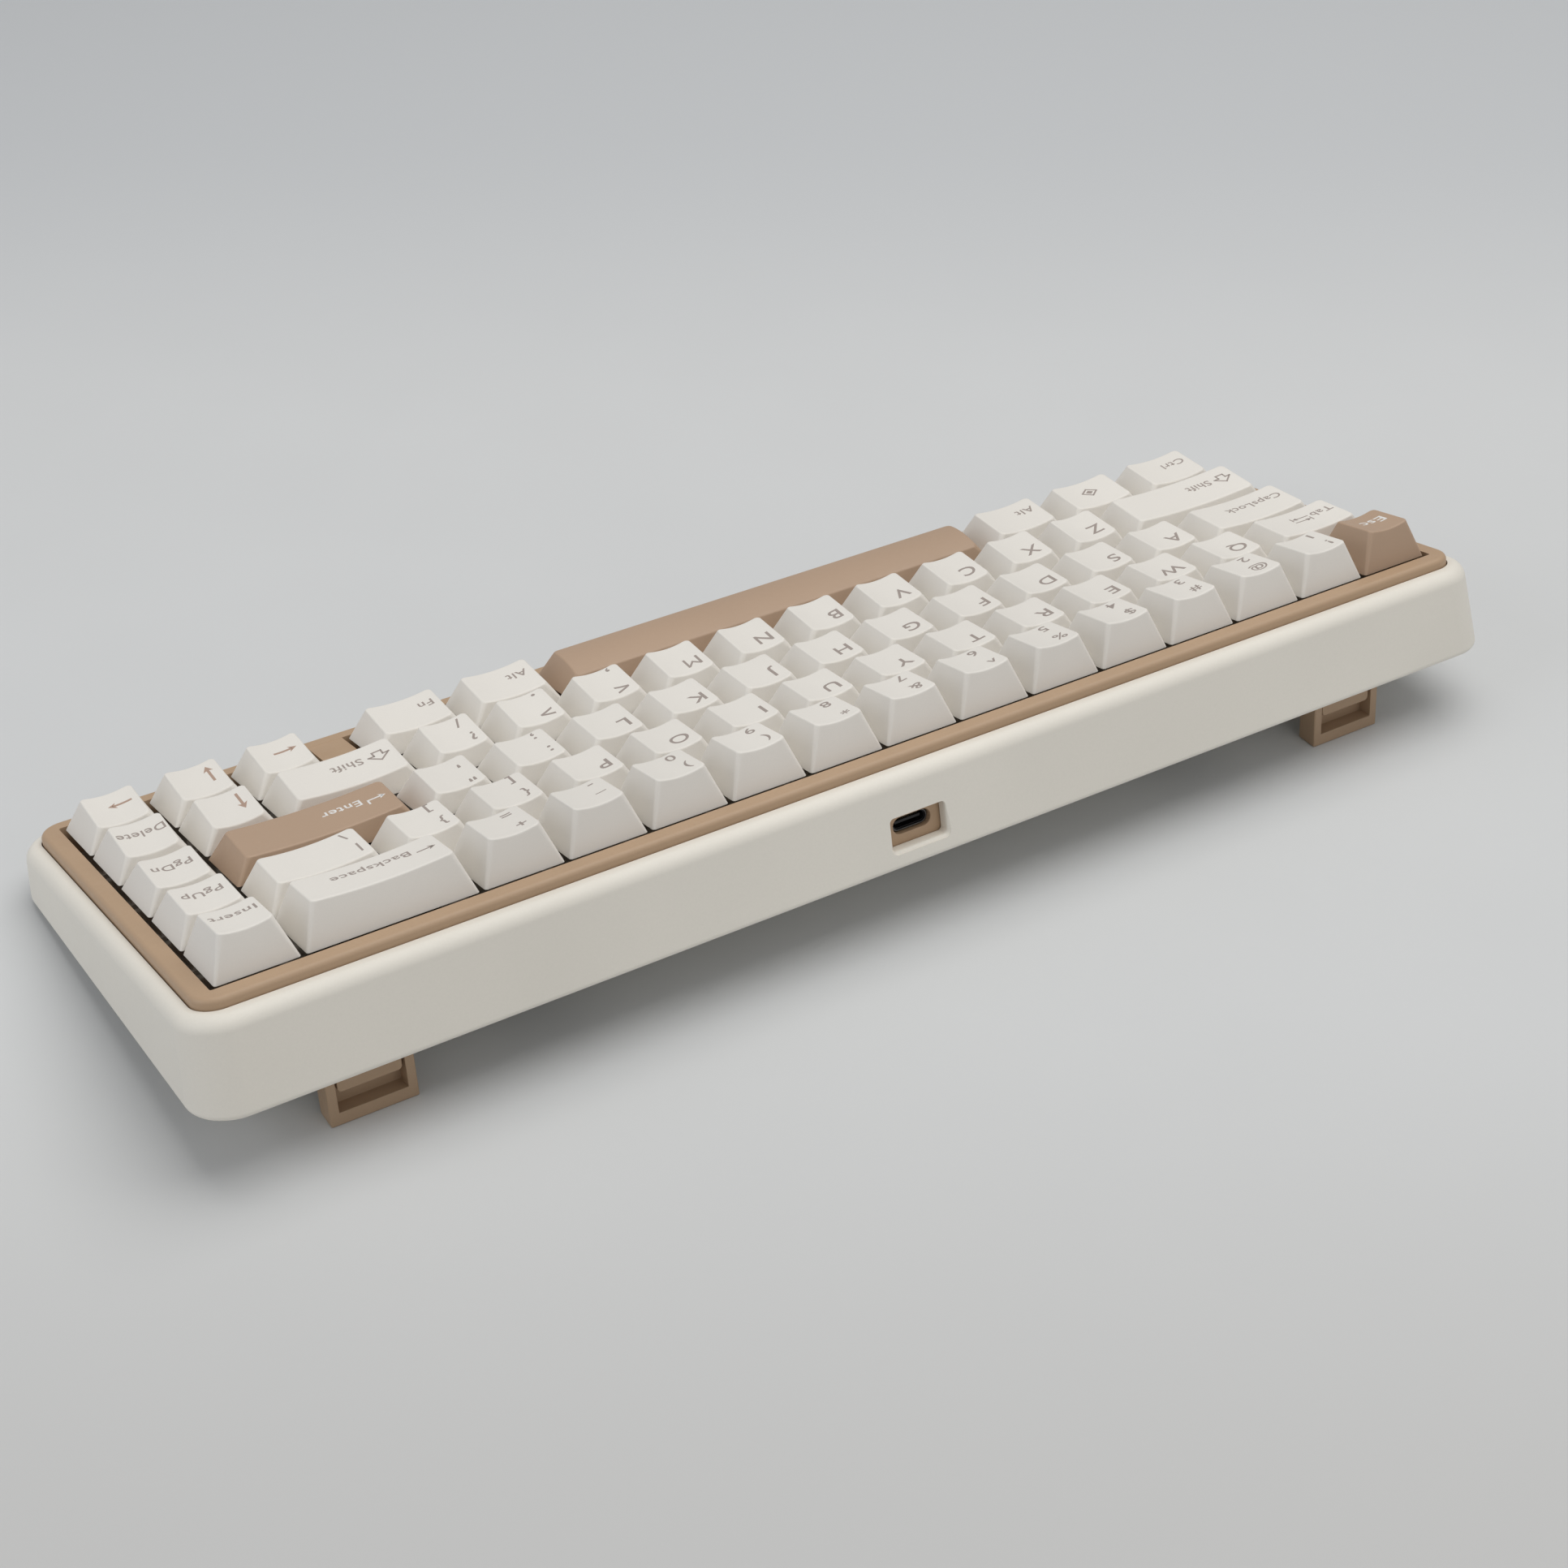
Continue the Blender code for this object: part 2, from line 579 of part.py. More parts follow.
def make_port():
    shell = bmesh.new()
    stadium_along_y(shell, PORT_SIZE, PORT_Y)
    port = mesh_object("usb_c_port", shell, "steel")
    mouth = bmesh.new()
    inner = [side - 2 * PORT_SHELL for side in PORT_SIZE]
    stadium_along_y(mouth, inner, (PORT_Y[0] + 1.0, PORT_Y[1] + 1.0))
    cut(port, "port_mouth", mouth)
    tongue = bmesh.new()
    half_wide, half_thick = PORT_TONGUE[0] / 2, PORT_TONGUE[1] / 2
    box(tongue, (PORT_X - half_wide, PORT_X + half_wide), (PORT_Y[0] + 0.5, PORT_Y[1] - 0.8),
        (PORT_Z - half_thick, PORT_Z + half_thick))
    join(port, "port_tongue", tongue)

    bm = bmesh.new()
    box(bm, (PORT_X - SURROUND_HALF, PORT_X + SURROUND_HALF), SURROUND_Y, SURROUND_Z)
    surround = mesh_object("port_surround", bm, "tan_plastic")
    hole = bmesh.new()
    stadium_along_y(hole, [side + 2 * FIT for side in PORT_SIZE],
                    (SURROUND_Y[0] - 1.0, SURROUND_Y[1] + 1.0))
    cut(surround, "port_hole", hole)


def pad_places():
    """Rubber pads as name: (x span, y span)."""
    places = {}
    for side, name in ((-1, "left"), (1, "right")):
        for end, (from_middle, y) in (("front", FRONT_PADS), ("rear", REAR_PADS)):
            middle = DECK_WIDTH / 2 + side * from_middle
            places[f"{end}_{name}_pad"] = ((middle - PAD_HALF, middle + PAD_HALF), y)
    return places


def make_pads():
    for name, (x, y) in pad_places().items():
        if name.startswith("front"):
            low = (desk_plane(y[0]), desk_plane(y[1]))
        else:
            low = [bottom_plane(end) - REAR_PAD_HEIGHT for end in y]
        bm = bmesh.new()
        hexahedron(bm, (*x, *y, *low), (*x, *y, *(bottom_plane(end) + PAD_SINK for end in y)))
        mesh_object(name, bm, "rubber")


def foot_middles():
    return [DECK_WIDTH / 2 - FOOT_FROM_MIDDLE, DECK_WIDTH / 2 + FOOT_FROM_MIDDLE]


def lean(place):
    """Turns a (y, z) place on an upright foot forward about the large foot's pin."""
    y, z = place[0] - FOOT_AXIS[0], place[1] - FOOT_AXIS[1]
    along, across = math.cos(FOOT_LEAN), math.sin(FOOT_LEAN)
    return FOOT_AXIS[0] + y * along + z * across, FOOT_AXIS[1] + z * along - y * across


def above_desk(y, z):
    """Height over the desk of a place on the upright foot, once the foot leans."""
    leaned = lean((y, z))
    return leaned[1] - desk_plane(leaned[0])


def sole(y):
    """Height on the upright foot at y that stands on the desk once the foot leans."""
    far = -50.0
    high, low = above_desk(y, 0.0), above_desk(y, far)
    return far * high / (high - low)


def leaned_solid(outline, middle, half):
    return profile_along_x([lean(place) for place in outline], (middle - half, middle + half))


def make_feet():
    boss = FOOT_REAR - FOOT_AXIS[0]
    small_axis = lean(SMALL_FOOT_AXIS)
    for side, middle in zip(("left", "right"), foot_middles()):
        outline = [(FOOT_REAR, sole(FOOT_REAR))]
        outline += arc(FOOT_AXIS, boss, 0, 140, 5)
        outline += [(FOOT_FRONT, FOOT_AXIS[1] - 1.0), (FOOT_FRONT, sole(FOOT_FRONT))]
        half = FOOT_WIDTH / 2
        bm = leaned_solid(outline, middle, half)
        large = mesh_object(side + "_large_foot", bm, "tan_plastic", origin=(middle, *FOOT_AXIS))
        pin = bmesh.new()
        cylinder_x(pin, middle, *FOOT_AXIS, PIN_RADIUS, 2 * (half + PIN_REACH))
        join(large, side + "_large_foot_pin", pin)
        inner = half - FOOT_POST
        low, rear = sole(FOOT_REAR) + FOOT_RAIL, FOOT_REAR + 1.0
        recess = leaned_solid([(RECESS_FRONT, low), (rear, low), (rear, RECESS_TOP),
                               (RECESS_FRONT, RECESS_TOP)], middle, inner)
        cut(large, side + "_large_foot_recess", recess)
        holes = bmesh.new()
        cylinder_x(holes, middle, *small_axis, SMALL_PIN_RADIUS + FIT,
                   2 * (inner + SMALL_PIN_REACH))
        cut(large, side + "_small_foot_holes", holes)

        y = SMALL_FOOT_AXIS[0]
        slab = [(y + SMALL_FOOT_HALF, SMALL_FOOT_END)]
        slab += arc(SMALL_FOOT_AXIS, SMALL_FOOT_HALF, 0, 180, 6)
        slab += [(y - SMALL_FOOT_HALF, SMALL_FOOT_END)]
        reach = SMALL_FOOT_WIDTH / 2
        bm = leaned_solid(slab, middle, reach)
        small = mesh_object(side + "_small_foot", bm, "tan_plastic", origin=(middle, *small_axis))
        pin = bmesh.new()
        cylinder_x(pin, middle, *small_axis, SMALL_PIN_RADIUS, 2 * (reach + SMALL_PIN_REACH),
                   sides=10)
        join(small, side + "_small_foot_pin", pin)


def stabiliser_places():
    """Key name: (middle x, cell front y, half distance between the posts)."""
    return {name: (caps[0].middle, caps[0].front, STABILISED[name])
            for name, caps in key_table()[0] if name in STABILISED}


def make_stabiliser_wires():
    """Steel wires that keep the wide keys level; each turns about its long straight part."""
    drop = math.asin(WIRE_LIFT / WIRE_ARM)
    for name, (x, y, reach) in stabiliser_places().items():
        arm_y, arm_z = WIRE_ARM * math.cos(drop), WIRE_LIFT
        route = [(-reach, arm_y, arm_z), (-reach, 0, 0), (reach, 0, 0), (reach, arm_y, arm_z)]
        curve = bpy.data.curves.new(name + "_wire", "CURVE")
        curve.dimensions = "3D"
        curve.bevel_depth = WIRE_RADIUS * MM
        curve.bevel_resolution = 1
        curve.use_fill_caps = True
        spline = curve.splines.new("POLY")
        spline.points.add(len(route) - 1)
        for point, place in zip(spline.points, route):
            point.co = (*(Vector(place) * MM), 1.0)
        curve.materials.append(materials["steel"])
        wire = bpy.data.objects.new(name.replace("key_", "") + "_stabiliser_wire", curve)
        wire.location = Vector((x, y + WIRE_Y, WIRE_Z)) * MM
        wire.parent = deck
        keyboard.objects.link(wire)


def stand_on_desk():
    """Tilt the deck, and put the middle of the whole keyboard's footprint at the world origin."""
    deck.rotation_euler.x = TYPING_ANGLE
    bpy.context.view_layer.update()
    graph = bpy.context.evaluated_depsgraph_get()
    corners = []
    for obj in keyboard.objects:
        if obj.type in {"MESH", "CURVE"}:
            shape = obj.evaluated_get(graph)
            mesh = shape.to_mesh()
            corners += [obj.matrix_world @ v.co for v in mesh.vertices]
            shape.to_mesh_clear()
    middle = [(min(c[i] for c in corners) + max(c[i] for c in corners)) / 2 for i in (0, 1)]
    deck.location = (-middle[0], -middle[1], -min(c.z for c in corners))
    bpy.context.view_layer.update()


clear_scene()
keyboard = new_collection("mechanical_keyboard")
tools = new_collection("cutters")
materials = {name: make_material(name) for name in COLOURS}
deck = bpy.data.objects.new("deck", None)
keyboard.objects.link(deck)

key_groups, switch_places = key_table()
make_outer_case()
make_inner_frame()
make_switch_plate(switch_places)
make_circuit_board()
make_sound_pad()
make_port()
make_pads()
make_feet()
make_stabiliser_wires()
for key_name, key_caps in key_groups:
    make_key(key_name, key_caps)
stand_on_desk()
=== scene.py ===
"""Looks of a compact mechanical keyboard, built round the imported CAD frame.

Pieces are drawn in the keyboard's deck frame, in millimetres: X to the right, Y from the space bar
to the number row, Z square to the key plane, with z = 0 at the lower edge of the keycaps and the
first key's cell starting at x = 0, y = 0.  DECK carries that frame into the row frame.
"""

import json
import math

import bmesh
import bpy
from mathutils import Matrix, Vector


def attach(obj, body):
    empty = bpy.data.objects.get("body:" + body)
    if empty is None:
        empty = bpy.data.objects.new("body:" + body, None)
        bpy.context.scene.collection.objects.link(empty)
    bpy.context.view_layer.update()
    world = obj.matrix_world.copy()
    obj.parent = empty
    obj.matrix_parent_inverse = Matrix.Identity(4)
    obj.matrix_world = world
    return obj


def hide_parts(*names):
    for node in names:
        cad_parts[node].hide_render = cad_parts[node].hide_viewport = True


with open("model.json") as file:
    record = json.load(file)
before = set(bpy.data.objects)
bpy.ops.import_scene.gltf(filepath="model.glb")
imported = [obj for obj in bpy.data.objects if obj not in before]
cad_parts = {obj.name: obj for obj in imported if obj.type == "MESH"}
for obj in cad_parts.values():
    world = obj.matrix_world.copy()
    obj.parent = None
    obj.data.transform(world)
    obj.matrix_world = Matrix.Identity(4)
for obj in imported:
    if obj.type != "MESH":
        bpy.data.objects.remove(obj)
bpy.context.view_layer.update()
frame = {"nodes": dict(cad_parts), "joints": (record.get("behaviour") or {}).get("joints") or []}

MM = 0.001
PITCH = 19.05
DECK_WIDTH = 16 * PITCH
DECK_DEPTH = 5 * PITCH
MIDDLE_X = DECK_WIDTH / 2

# ---- deck frame, from the press joints' axis and a tilt foot's pin ------------------------------
LEFT_PIN = (26.6, 95.0, -20.3)          # the left large foot's pin in the deck frame


def joint(name):
    return next(j for j in frame["joints"] if j["name"] == name)


press_axis = Vector(joint("key_esc_press")["axis"])
TILT = math.atan2(press_axis.y, -press_axis.z)
tilted = Matrix.Rotation(TILT, 4, "X")
pin_place = Vector(joint("left_large_foot_fold")["pos_m"])
DECK = Matrix.Translation(pin_place - tilted @ (Vector(LEFT_PIN) * MM)) @ tilted


def deck_box(node):
    """Lowest and highest corner of a CAD node in the deck frame, in millimetres."""
    inverse = DECK.inverted()
    corners = [(inverse @ v.co) / MM for v in frame["nodes"][node].data.vertices]
    low = Vector([min(c[i] for c in corners) for i in range(3)])
    high = Vector([max(c[i] for c in corners) for i in range(3)])
    return low, high


# ---- materials ------------------------------------------------------------------------------------
def noise(tree, place, size, detail=3.0, roughness=0.5):
    """Noise whose grains are about `size` millimetres across."""
    node = tree.nodes.new("ShaderNodeTexNoise")
    node.inputs["Scale"].default_value = 1.0 / (size * MM)
    node.inputs["Detail"].default_value = detail
    node.inputs["Roughness"].default_value = roughness
    tree.links.new(place.outputs["Object"], node.inputs["Vector"])
    return node


def spread(tree, source, low, high):
    """Maps a noise's middle range onto low..high."""
    node = tree.nodes.new("ShaderNodeMapRange")
    node.inputs["From Min"].default_value = 0.3
    node.inputs["From Max"].default_value = 0.7
    node.inputs["To Min"].default_value = low
    node.inputs["To Max"].default_value = high
    tree.links.new(source, node.inputs["Value"])
    return node.outputs["Result"]


def blend_colours(tree, factor, first, second):
    node = tree.nodes.new("ShaderNodeMix")
    node.data_type = "RGBA"
    tree.links.new(factor, node.inputs["Factor"])
    for socket, colour in (("A", first), ("B", second)):
        target = next(i for i in node.inputs if i.name == socket and i.type == "RGBA")
        if isinstance(colour, bpy.types.NodeSocket):
            tree.links.new(colour, target)
        else:
            target.default_value = (*colour, 1.0)
    return next(o for o in node.outputs if o.type == "RGBA")


def scaled(colour, factor):
    return tuple(min(1.0, c * factor) for c in colour)


def moulded(name, colour, roughness, grain=0.35, depth=0.012, drift=0.03, speckle=0.03,
            specular=0.45):
    """Injection-moulded plastic: spark-eroded grain, faint mottling and slow colour drift."""
    material = bpy.data.materials.new(name)
    material.use_nodes = True
    tree = material.node_tree
    shader = tree.nodes["Principled BSDF"]
    shader.inputs["Specular IOR Level"].default_value = specular
    place = tree.nodes.new("ShaderNodeTexCoord")
    slow = noise(tree, place, 60.0, detail=2.0)
    fine = noise(tree, place, grain, detail=4.0, roughness=0.6)
    coarse = noise(tree, place, grain * 7.0, detail=3.0)
    tone = blend_colours(tree, spread(tree, slow.outputs["Fac"], 0.0, 1.0),
                         scaled(colour, 1.0 - drift), scaled(colour, 1.0 + drift))
    fleck = blend_colours(tree, spread(tree, fine.outputs["Fac"], 0.0, speckle * 4.0), tone,
                          scaled(colour, 0.78))
    tree.links.new(fleck, shader.inputs["Base Color"])
    tree.links.new(spread(tree, coarse.outputs["Fac"], roughness - 0.06, roughness + 0.06),
                   shader.inputs["Roughness"])
    waviness = tree.nodes.new("ShaderNodeBump")
    waviness.inputs["Strength"].default_value = 0.5
    waviness.inputs["Distance"].default_value = 0.02 * MM
    tree.links.new(coarse.outputs["Fac"], waviness.inputs["Height"])
    bump = tree.nodes.new("ShaderNodeBump")
    bump.inputs["Strength"].default_value = 0.6
    bump.inputs["Distance"].default_value = depth * MM
    tree.links.new(fine.outputs["Fac"], bump.inputs["Height"])
    tree.links.new(waviness.outputs["Normal"], bump.inputs["Normal"])
    tree.links.new(bump.outputs["Normal"], shader.inputs["Normal"])
    return material


def metal(name, colour, roughness, grain, stretch=(1.0, 1.0, 1.0)):
    """Drawn or plated metal with fine scratches stretched along one axis."""
    material = bpy.data.materials.new(name)
    material.use_nodes = True
    tree = material.node_tree
    shader = tree.nodes["Principled BSDF"]
    shader.inputs["Metallic"].default_value = 1.0
    place = tree.nodes.new("ShaderNodeTexCoord")
    mapping = tree.nodes.new("ShaderNodeMapping")
    mapping.inputs["Scale"].default_value = stretch
    tree.links.new(place.outputs["Object"], mapping.inputs["Vector"])
    scratches = tree.nodes.new("ShaderNodeTexNoise")
    scratches.inputs["Scale"].default_value = 1.0 / (grain * MM)
    scratches.inputs["Detail"].default_value = 4.0
    tree.links.new(mapping.outputs["Vector"], scratches.inputs["Vector"])
    tree.links.new(blend_colours(tree, spread(tree, scratches.outputs["Fac"], 0.0, 1.0),
                                 scaled(colour, 0.85), scaled(colour, 1.1)),
                   shader.inputs["Base Color"])
    tree.links.new(spread(tree, scratches.outputs["Fac"], roughness - 0.08, roughness + 0.1),
                   shader.inputs["Roughness"])
    bump = tree.nodes.new("ShaderNodeBump")
    bump.inputs["Strength"].default_value = 0.3
    bump.inputs["Distance"].default_value = 0.01 * MM
    tree.links.new(scratches.outputs["Fac"], bump.inputs["Height"])
    tree.links.new(bump.outputs["Normal"], shader.inputs["Normal"])
    return material


IVORY = (0.835, 0.80, 0.745)
WHITE = (0.835, 0.795, 0.715)
TAN = (0.485, 0.335, 0.215)
TAN_CAP = (0.475, 0.335, 0.235)
materials = {
    "case": moulded("case_plastic", WHITE, 0.50, grain=0.5, depth=0.010),
    "rim": moulded("rim_plastic", TAN, 0.48, grain=0.45, depth=0.012, drift=0.02),
    "feet": moulded("feet_plastic", scaled(TAN, 0.92), 0.46, grain=0.45, depth=0.012),
    "ivory": moulded("ivory_cap_plastic", IVORY, 0.52, grain=0.28, depth=0.014),
    "tan": moulded("tan_cap_plastic", TAN_CAP, 0.50, grain=0.28, depth=0.014),
    "ink": moulded("legend_brown", (0.37, 0.315, 0.285), 0.55, grain=0.2, depth=0.006),
    "arrow_ink": moulded("arrow_tan", (0.46, 0.32, 0.25), 0.55, grain=0.2, depth=0.006),
    "white_ink": moulded("legend_white", (0.80, 0.79, 0.77), 0.55, grain=0.2, depth=0.006),
    # The plate's colour is lifted above its own dark tone: painted light standing in for the light that
    # reaches the plate through the narrow gaps round the caps.
    "plate": moulded("plate_coating_painted_fill", (0.36, 0.315, 0.27), 0.55, grain=0.9, depth=0.03,
                     speckle=0.15),
    "board": moulded("board_mask", (0.012, 0.045, 0.028), 0.32, grain=1.2, depth=0.01),
    "silicone": moulded("silicone_sheet", (0.30, 0.31, 0.31), 0.75, grain=0.8, depth=0.03),
    "rubber": moulded("rubber_pad", (0.045, 0.044, 0.043), 0.82, grain=0.5, depth=0.03),
    "insert": moulded("port_insert", (0.012, 0.012, 0.013), 0.35, grain=0.3, depth=0.01),
    # The shell's steel is darkened well below bright metal: painted shade for the deep, shaded port mouth.
    "steel": metal("port_shell", (0.16, 0.155, 0.15), 0.35, 0.6, stretch=(1.0, 0.15, 1.0)),
    "wire": metal("spring_wire", (0.62, 0.62, 0.63), 0.25, 0.5, stretch=(0.1, 1.0, 1.0)),
    "gold": metal("contact_gold", (0.80, 0.58, 0.28), 0.28, 0.4),
    "screw": metal("black_screw", (0.10, 0.10, 0.105), 0.34, 0.5),
}


# ---- object helpers -------------------------------------------------------------------------------
def shade(mesh, sharp_above=35.0):
    mesh.shade_smooth()
    mesh.set_sharp_from_angle(angle=math.radians(sharp_above))


def deck_object(name, bm):
    """A mesh object from deck millimetres, its own axes along the deck's."""
    bmesh.ops.scale(bm, verts=bm.verts, vec=(MM, MM, MM))
    bmesh.ops.recalc_face_normals(bm, faces=bm.faces)
    mesh = bpy.data.meshes.new(name)
    bm.to_mesh(mesh)
    bm.free()
    obj = bpy.data.objects.new(name, mesh)
    bpy.context.scene.collection.objects.link(obj)
    obj.matrix_world = DECK
    return obj


def keep_evaluated(obj):
    """Puts the modifiers' result in the object's own mesh."""
    bpy.context.view_layer.update()
    graph = bpy.context.evaluated_depsgraph_get()
    mesh = bpy.data.meshes.new_from_object(obj.evaluated_get(graph))
    obj.modifiers.clear()
    obj.data = mesh


def combine(obj, bm, operation):
    tool = deck_object(obj.name + "_tool", bm)
    modifier = obj.modifiers.new("boolean", "BOOLEAN")
    modifier.operation = operation
    modifier.solver = "EXACT"
    modifier.object = tool
    keep_evaluated(obj)
    bpy.data.objects.remove(tool)


def cut(obj, bm):
    combine(obj, bm, "DIFFERENCE")


def join(obj, bm):
    combine(obj, bm, "UNION")


def soften(obj, width, segments=3, angle=40.0):
    """Rounds the sharp edges of a finished shape."""
    weld = obj.modifiers.new("weld", "WELD")
    weld.merge_threshold = 0.002 * MM
    flat = obj.modifiers.new("flat", "DECIMATE")
    flat.decimate_type = "DISSOLVE"
    flat.angle_limit = math.radians(0.5)
    bevel = obj.modifiers.new("round", "BEVEL")
    bevel.width = width * MM
    bevel.segments = segments
    bevel.limit_method = "ANGLE"
    bevel.angle_limit = math.radians(angle)
    bevel.harden_normals = False
    keep_evaluated(obj)


def settle(obj):
    """Puts the deck's turn in the mesh, so the object's own box is the true one."""
    obj.data.transform(obj.matrix_world)
    obj.matrix_world = Matrix.Identity(4)


def place(obj, body, material, slot=None, replaces=(), sharp_above=35.0):
    settle(obj)
    obj.data.materials.clear()
    obj.data.materials.append(materials[material])
    shade(obj.data, sharp_above)
    normals = obj.modifiers.new("normals", "WEIGHTED_NORMAL")
    normals.keep_sharp = True
    normals.weight = 80
    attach(obj, body)
    if replaces:
        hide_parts(*replaces)
    return obj


# ---- solid builders, in deck millimetres -----------------------------------------------------------
def hexahedron(bm, low, high):
    """Six-sided block from two levels, each (x0, x1, y0, y1, z at y0, z at y1)."""
    for vert in bmesh.ops.create_cube(bm, size=2)["verts"]:
        x0, x1, y0, y1, z0, z1 = high if vert.co.z > 0 else low
        front = vert.co.y < 0
        vert.co = Vector((x0 if vert.co.x < 0 else x1, y0 if front else y1, z0 if front else z1))


def box(bm, x, y, z):
    hexahedron(bm, (*x, *y, z[0], z[0]), (*x, *y, z[1], z[1]))


def new_box(x, y, z):
    bm = bmesh.new()
    box(bm, x, y, z)
    return bm


def rounded_box(x, y, z, corner, corner_segments=14, top=0.0, bottom=0.0, segments=7):
    """Block with rounded upright corners and, on request, rounded top and bottom edges."""
    bm = new_box(x, y, z)
    upright = [e for e in bm.edges if abs(e.verts[0].co.z - e.verts[1].co.z) > 1e-6]
    bmesh.ops.bevel(bm, geom=upright, offset=corner, segments=corner_segments, profile=0.5,
                    affect="EDGES")
    for level, radius in ((z[1], top), (z[0], bottom)):
        if radius:
            loop = [e for e in bm.edges if all(abs(v.co.z - level) < 1e-6 for v in e.verts)]
            bmesh.ops.bevel(bm, geom=loop, offset=radius, segments=segments, profile=0.5,
                            affect="EDGES")
    return bm


def cylinder(bm, centre, radius, length, axis, sides=32, top_radius=None):
    """Cylinder or cone about X, Y or Z."""
    turns = {"X": Matrix.Rotation(math.pi / 2, 4, "Y"), "Y": Matrix.Rotation(-math.pi / 2, 4, "X"),
             "Z": Matrix.Identity(4)}
    bmesh.ops.create_cone(bm, cap_ends=True, segments=sides, radius1=radius,
                          radius2=radius if top_radius is None else top_radius, depth=length,
                          matrix=Matrix.Translation(centre) @ turns[axis])


def extruded(outline, vector):
    """Solid swept from a flat outline along a vector."""
    bm = bmesh.new()
    face = bm.faces.new([bm.verts.new(p) for p in outline])
    grown = bmesh.ops.extrude_face_region(bm, geom=[face])["geom"]
    moved = [g for g in grown if isinstance(g, bmesh.types.BMVert)]
    bmesh.ops.translate(bm, verts=moved, vec=vector)
    return bm


def arc(centre, radius, start, end, steps):
    """Points on a circle, angles in degrees."""
    angles = [math.radians(start + (end - start) * i / steps) for i in range(steps + 1)]
    return [(centre[0] + radius * math.cos(a), centre[1] + radius * math.sin(a)) for a in angles]


def append(bm, part):
    mesh = bpy.data.meshes.new("part")
    part.to_mesh(mesh)
    part.free()
    bm.from_mesh(mesh)
    bpy.data.meshes.remove(mesh)


# ---- outer case -------------------------------------------------------------------------------------
CASE_X = (-8.5, DECK_WIDTH + 8.5)
CASE_Y = (-8.7, DECK_DEPTH + 8.75)
CASE_TOP = -2.0
CASE_CORNER = 10.0
CASE_FLARE = 0.09
BOTTOM_AT_ORIGIN = -14.9
BOTTOM_SLOPE = 0.078
FLOOR = 1.6
FIT = 0.3
OPENING_X = (-0.6, DECK_WIDTH + 0.6)
OPENING_Y = (-0.4, DECK_DEPTH + 0.45)
RIM = 4.2
RIM_TOP = 0.3
RIM_BOTTOM = -10.8
RIM_CORNER = 5.5
RIM_TOP_ROUND = 1.2
PLATE_TOP = -6.6
LEDGE = 1.5
LEDGE_TOP = -8.4
PORT_Z = -14.75
PORT_SHELL = (8.94, 3.26)
PORT_MOUTH = (8.34, 2.66)
POCKET_Z = -15.0
FOOT_MIDDLES = (LEFT_PIN[0], DECK_WIDTH - LEFT_PIN[0])
FOOT_WIDTH = 19.2
BAY_FRONT, BAY_REAR, BAY_DEPTH, BAY_WALL = 75.9, 99.5, 5.9, 2.0
SCREW_PLACES = [(x, y) for x in (12.0, MIDDLE_X - 38.0, MIDDLE_X + 38.0, DECK_WIDTH - 12.0)
                for y in (14.0, 66.0)]


def bottom_plane(y):
    return BOTTOM_AT_ORIGIN - BOTTOM_SLOPE * y


def desk_plane(y):
    """Height of the desk at y, where the row frame's z is 0."""
    return -(DECK @ Vector((0, y * MM, 0))).z / math.cos(TILT) / MM


def sloped_box(bm, x, y, above_bottom):
    low, high = above_bottom
    hexahedron(bm, (*x, *y, bottom_plane(y[0]) + low, bottom_plane(y[1]) + low),
               (*x, *y, bottom_plane(y[0]) + high, bottom_plane(y[1]) + high))


